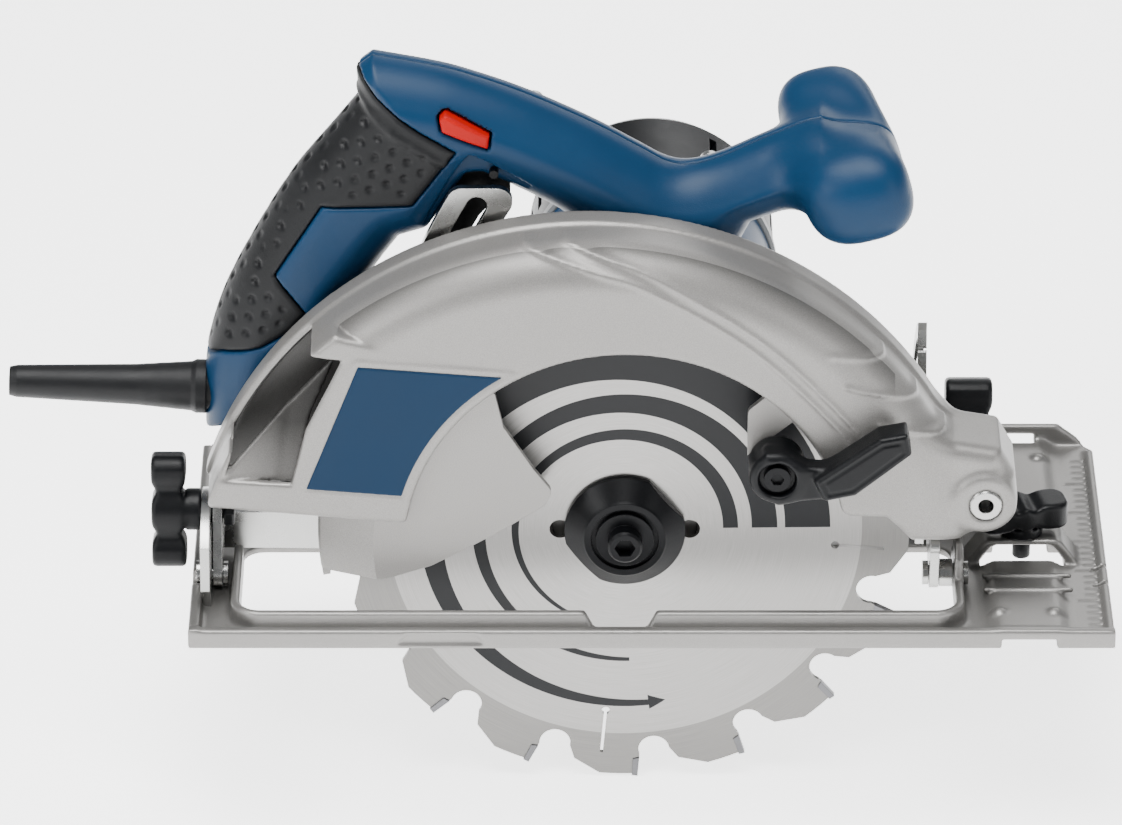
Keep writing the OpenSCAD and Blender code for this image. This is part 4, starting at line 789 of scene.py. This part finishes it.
# Name, field, low and high corner, body and the CAD node that it replaces
KNOBS = [
    ("front_wing_knob", front_knob_field, (93, 56, -19), (125.2, 90, 17),
     "front_bevel_knob", "front_bevel_knob"),
    ("rear_wing_knob", rear_knob_field, (-157.2, -11, -19), (-129, 31, 22),
     "rear_bevel_knob", "rear_bevel_knob"),
    ("fence_wing_knob", fence_screw_field, (116, 8, -22), (150, 32, 0),
     "fence_clamp", "fence_clamp_screw"),
]
for name, field, low, high, body, replaced in KNOBS:
    knob = sculpt(name, field, low, high, KNOB_STEP)
    finish_piece(knob, BLACK_PLASTIC, body, "black_plastic", replaced)


# ---------- base: pressed plate with rims, fence bridge, ruler and bumps ----------

SOLE_Z, PLATE_Z, BEVEL_Z = -25.0, -22.0, -17.0
REAR, FRONT, NEAR, FAR = -143.6, 161.0, -37.0, 100.0
OPENING = (-127, 109, -29, 27)
FENCE_W, FENCE_H = 18.0, 3.3
RIM_H, FRONT_RIM_H, TALL_RIM_H = 6.6, 4.4, 10.6
BAND_Z = -19.4
BUMPS = [(123.7, -22), (141.7, -22), (141.7, 84), (123.7, 84)]


def flat_box(a, b, low_a, high_a, low_b, high_b):
    """Distance to a rectangle in two coordinates."""
    return np.maximum(np.abs(a - (low_a + high_a) / 2) - (high_a - low_a) / 2,
                      np.abs(b - (low_b + high_b) / 2) - (high_b - low_b) / 2)


def base_field(x, y, z):
    """The base in one sheet, with soft pressed edges."""
    outline = flat_box(x, y, REAR, FRONT, NEAR, FAR)
    past_end = np.abs(x - (REAR + FRONT) / 2) - (FRONT - REAR) / 2
    outline = np.maximum(outline, (past_end + y - FAR) * 0.707 + 4)
    plate = np.maximum(outline, np.maximum(z - PLATE_Z, SOLE_Z - z))

    def wall(low_x, high_x, low_y, high_y, top):
        return thick(flat_box(x, y, low_x, high_x, low_y, high_y), np.abs(z - (top + SOLE_Z) / 2)
                     - (top - SOLE_Z) / 2, 0.9)

    near_rim = wall(REAR, FRONT, NEAR, NEAR + 3.7, SOLE_Z + RIM_H)
    rear_rim = wall(REAR, REAR + 3.7, NEAR, FAR - 8, SOLE_Z + RIM_H)
    front_rim = wall(FRONT - 2.6, FRONT, NEAR, FAR - 8, SOLE_Z + FRONT_RIM_H)
    far_rim = np.maximum(flat_box(y, z, FAR - 2.6, FAR, SOLE_Z, SOLE_Z + TALL_RIM_H),
                         (past_end + 6 + (z - SOLE_Z - 6) * 1.3) * 0.6)
    hole = round_box(x, y, *OPENING, 7)
    inner_rim = thick(hole - 3, z - (SOLE_Z + TALL_RIM_H), 1.0)
    inner_rim = np.maximum(np.maximum(inner_rim, SOLE_Z - z), y - 15)
    gap = np.maximum((np.abs(x + 1.5) - 8.0 - (z - PLATE_Z) * 0.5) * 0.9, PLATE_Z + 1.2 - z)
    inner_rim = smax(inner_rim, -np.maximum(gap, y + 10), 0.8)
    band = flat_box(y, z, NEAR, FAR - 0.4, SOLE_Z, BAND_Z)
    band = smax(band, (np.abs(x - FENCE_X) - 13.5 + (z - PLATE_Z) * 1.1) * 0.67, 1.5)
    body = smin(plate, smin(near_rim, rear_rim, 1.5), 2.0)
    body = smin(smin(body, front_rim, 2.0), far_rim, 2.0)
    body = smin(body, inner_rim, 2.5)
    body = smin(body, band, 2.5)
    off = np.abs(x - FENCE_X)
    arch = smax(z - (SOLE_Z + 12.2), (off - 12.6 + (z - SOLE_Z - 12.2) * 0.72) * 0.81, 2.0)
    arch = np.maximum(arch, np.abs(y - FENCE_Y) - 6)
    body = smin(body, np.maximum(arch, SOLE_Z - z), 1.5)
    ear = np.maximum(np.abs(x - 110.5) - 1.5, polygon([(-12, SOLE_Z), (-8, BEVEL_Z + 9),
                     (-4, BEVEL_Z + 14), (4, BEVEL_Z + 14), (8, BEVEL_Z + 9), (12, SOLE_Z)], y, z))
    body = smin(body, ear, 0.8)
    for bx, by in BUMPS:
        r = np.hypot(x - bx, y - by)
        bump = np.maximum(r - 2.4 + (z - BAND_Z) * 0.9, np.abs(z - BAND_Z) - 1.2)
        body = smin(body, bump, 1.0)
    for ridge_y in (2.0, -7.5):
        ridge = box(x, y, z, (FENCE_X + 1, ridge_y, BAND_Z), (15, 0.8, 0.9), 0.5)
        body = smin(body, ridge, 0.8)
    # Ruler along the front edge, every fifth mark longer
    mark = (y + 30) / 4.0
    near_mark = np.abs(mark - np.round(mark)) * 4.0
    longer = np.where(np.round(mark) % 5 == 0, 8.0, 5.0)
    ruler = np.maximum(np.maximum(near_mark - 0.42, np.abs(x - FRONT + 3.2 + longer / 2) - longer / 2),
                       np.abs(y - 28) - 58)
    body = np.maximum(body, -np.maximum(ruler, PLATE_Z - 0.55 - z))
    # Cuts
    body = smax(body, -np.maximum(hole, SOLE_Z - 1 - z), 0.8)
    body = np.maximum(body, -flat_box(x, y, -18, 18, 17, 54))
    channel = flat_box(x, z, FENCE_X - FENCE_W / 2, FENCE_X + FENCE_W / 2, SOLE_Z - 3, SOLE_Z + FENCE_H)
    body = np.maximum(body, -channel)
    eye = smax((off - 9.7 + (z - SOLE_Z - 10.2) * 0.75) * 0.8, z - (SOLE_Z + 10.2), 1.5)
    eye = np.maximum(np.maximum(eye, off - 14), np.abs(y - FENCE_Y) - 7)
    body = np.maximum(body, -np.maximum(flat_box(x, z, 125, 141, -26, -17.6), 95 - y))
    body = smax(body, -eye, 0.6)
    body = np.maximum(body, outline)
    body = np.maximum(body, 3.05 - np.hypot(x - FENCE_X, y - FENCE_Y))
    recess = np.maximum(polygon([(-75, SOLE_Z + 1.4), (-46, SOLE_Z + 1.4), (-49, SOLE_Z + 5.2),
                                 (-72, SOLE_Z + 5.2)], x, z), y - (NEAR + 0.8))
    body = np.maximum(body, -recess)
    for notch_y in (0, 11):
        body = np.maximum(body, -flat_box(x, y, FRONT - 5, FRONT + 2, notch_y - 0.8, notch_y + 0.8))
    pin = np.hypot(y, z - BEVEL_Z)
    body = np.maximum(body, -np.maximum(pin - 2.55, 100 - x))
    body = np.maximum(body, -np.maximum(pin - 4.3, x + 139))
    return np.maximum(body, SOLE_Z - z)


base = sculpt("base_sheet", base_field, (REAR, NEAR, SOLE_Z), (FRONT, FAR, -2), CASTING_STEP)
finish_piece(base, BASE_SILVER, "base", "base_metal", "base_plate")


# ---------- looks of the CAD nodes that stay ----------

for node_name, node in frame["nodes"].items():
    for place in node.material_slots:
        place.material = SLOT_MATERIALS[place.material.name.split(".")[0]]


# ---------- floor, light and camera ----------

def floor_material():
    """Pale studio paper with a faint tone and tooth."""
    mat = new_material("studio_paper")
    shader, add, join, _ = node_tools(mat)
    coords = add("ShaderNodeTexCoord")
    tone = noise(add, join, coords, 2.0, 2.0)
    tint = ramp(add, join, tone, "Fac", [(0.3, (0.86, 0.86, 0.86)), (0.7, (0.89, 0.89, 0.89))])
    join(tint, "Color", shader, "Base Color")
    join(tint, "Color", shader, "Emission Color")
    shader.inputs["Emission Strength"].default_value = 3.0
    tooth = noise(add, join, coords, 900.0, 2.0)
    bump = add("ShaderNodeBump", Strength=0.2, Distance=0.00003)
    join(tooth, "Fac", bump, "Height")
    join(bump, "Normal", shader, "Normal")
    shader.inputs["Roughness"].default_value = 0.7
    return mat


FLOOR_Z = CAD_BOUNDS[0].z - 0.0004
floor_mesh = bpy.data.meshes.new("studio_floor")
floor_mesh.from_pydata([(-6, -6, FLOOR_Z), (6, -6, FLOOR_Z), (6, 6, FLOOR_Z), (-6, 6, FLOOR_Z)],
                       [], [(0, 1, 2, 3)])
floor = bpy.data.objects.new("studio_floor", floor_mesh)
bpy.context.scene.collection.objects.link(floor)
floor_mesh.materials.append(floor_material())

world = bpy.data.worlds.new("studio")
bpy.context.scene.world = world
world.use_nodes = True
sky = next(n for n in world.node_tree.nodes if n.type == "BACKGROUND")
sky.inputs["Color"].default_value = (0.95, 0.97, 1.0, 1)
sky.inputs["Strength"].default_value = 0.36


def area_light(name, place, size, power, aim=(-0.11, 0, 0.05), colour=(1, 1, 1)):
    """A soft box at a place in metres, turned to its aim."""
    lamp = bpy.data.lights.new(name, "AREA")
    lamp.shape = "RECTANGLE"
    lamp.size, lamp.size_y = size
    lamp.energy = power
    lamp.color = colour
    obj = bpy.data.objects.new(name, lamp)
    obj.location = place
    obj.rotation_mode = "QUATERNION"
    obj.rotation_quaternion = (Vector(aim) - Vector(place)).to_track_quat("-Z", "Y")
    bpy.context.scene.collection.objects.link(obj)
    return obj


area_light("overhead_box", (-0.3, -0.25, 1.5), (1.2, 0.8), 50)
area_light("left_box", (-1.5, -1.1, 0.9), (0.7, 1.0), 20)
area_light("right_box", (1.3, -1.3, 0.7), (0.6, 1.0), 8)
area_light("back_box", (0.5, 1.6, 1.0), (1.4, 0.7), 12)

LENS, DISTANCE, HEIGHT_ANGLE = 254.0, 2.6, math.radians(28.3)
AIM = Vector((-0.1371, 0.0, 0.0683))
camera_data = bpy.data.cameras.new("photo_camera")
camera_data.lens = LENS
camera_data.sensor_width = 36.0
camera_data.clip_start, camera_data.clip_end = 0.1, 50
camera = bpy.data.objects.new("photo_camera", camera_data)
back = Vector((0, -math.cos(HEIGHT_ANGLE), math.sin(HEIGHT_ANGLE)))
camera.location = AIM + back * DISTANCE
camera.rotation_mode = "QUATERNION"
camera.rotation_quaternion = (-back).to_track_quat("-Z", "Y")
bpy.context.scene.collection.objects.link(camera)
bpy.context.scene.camera = camera
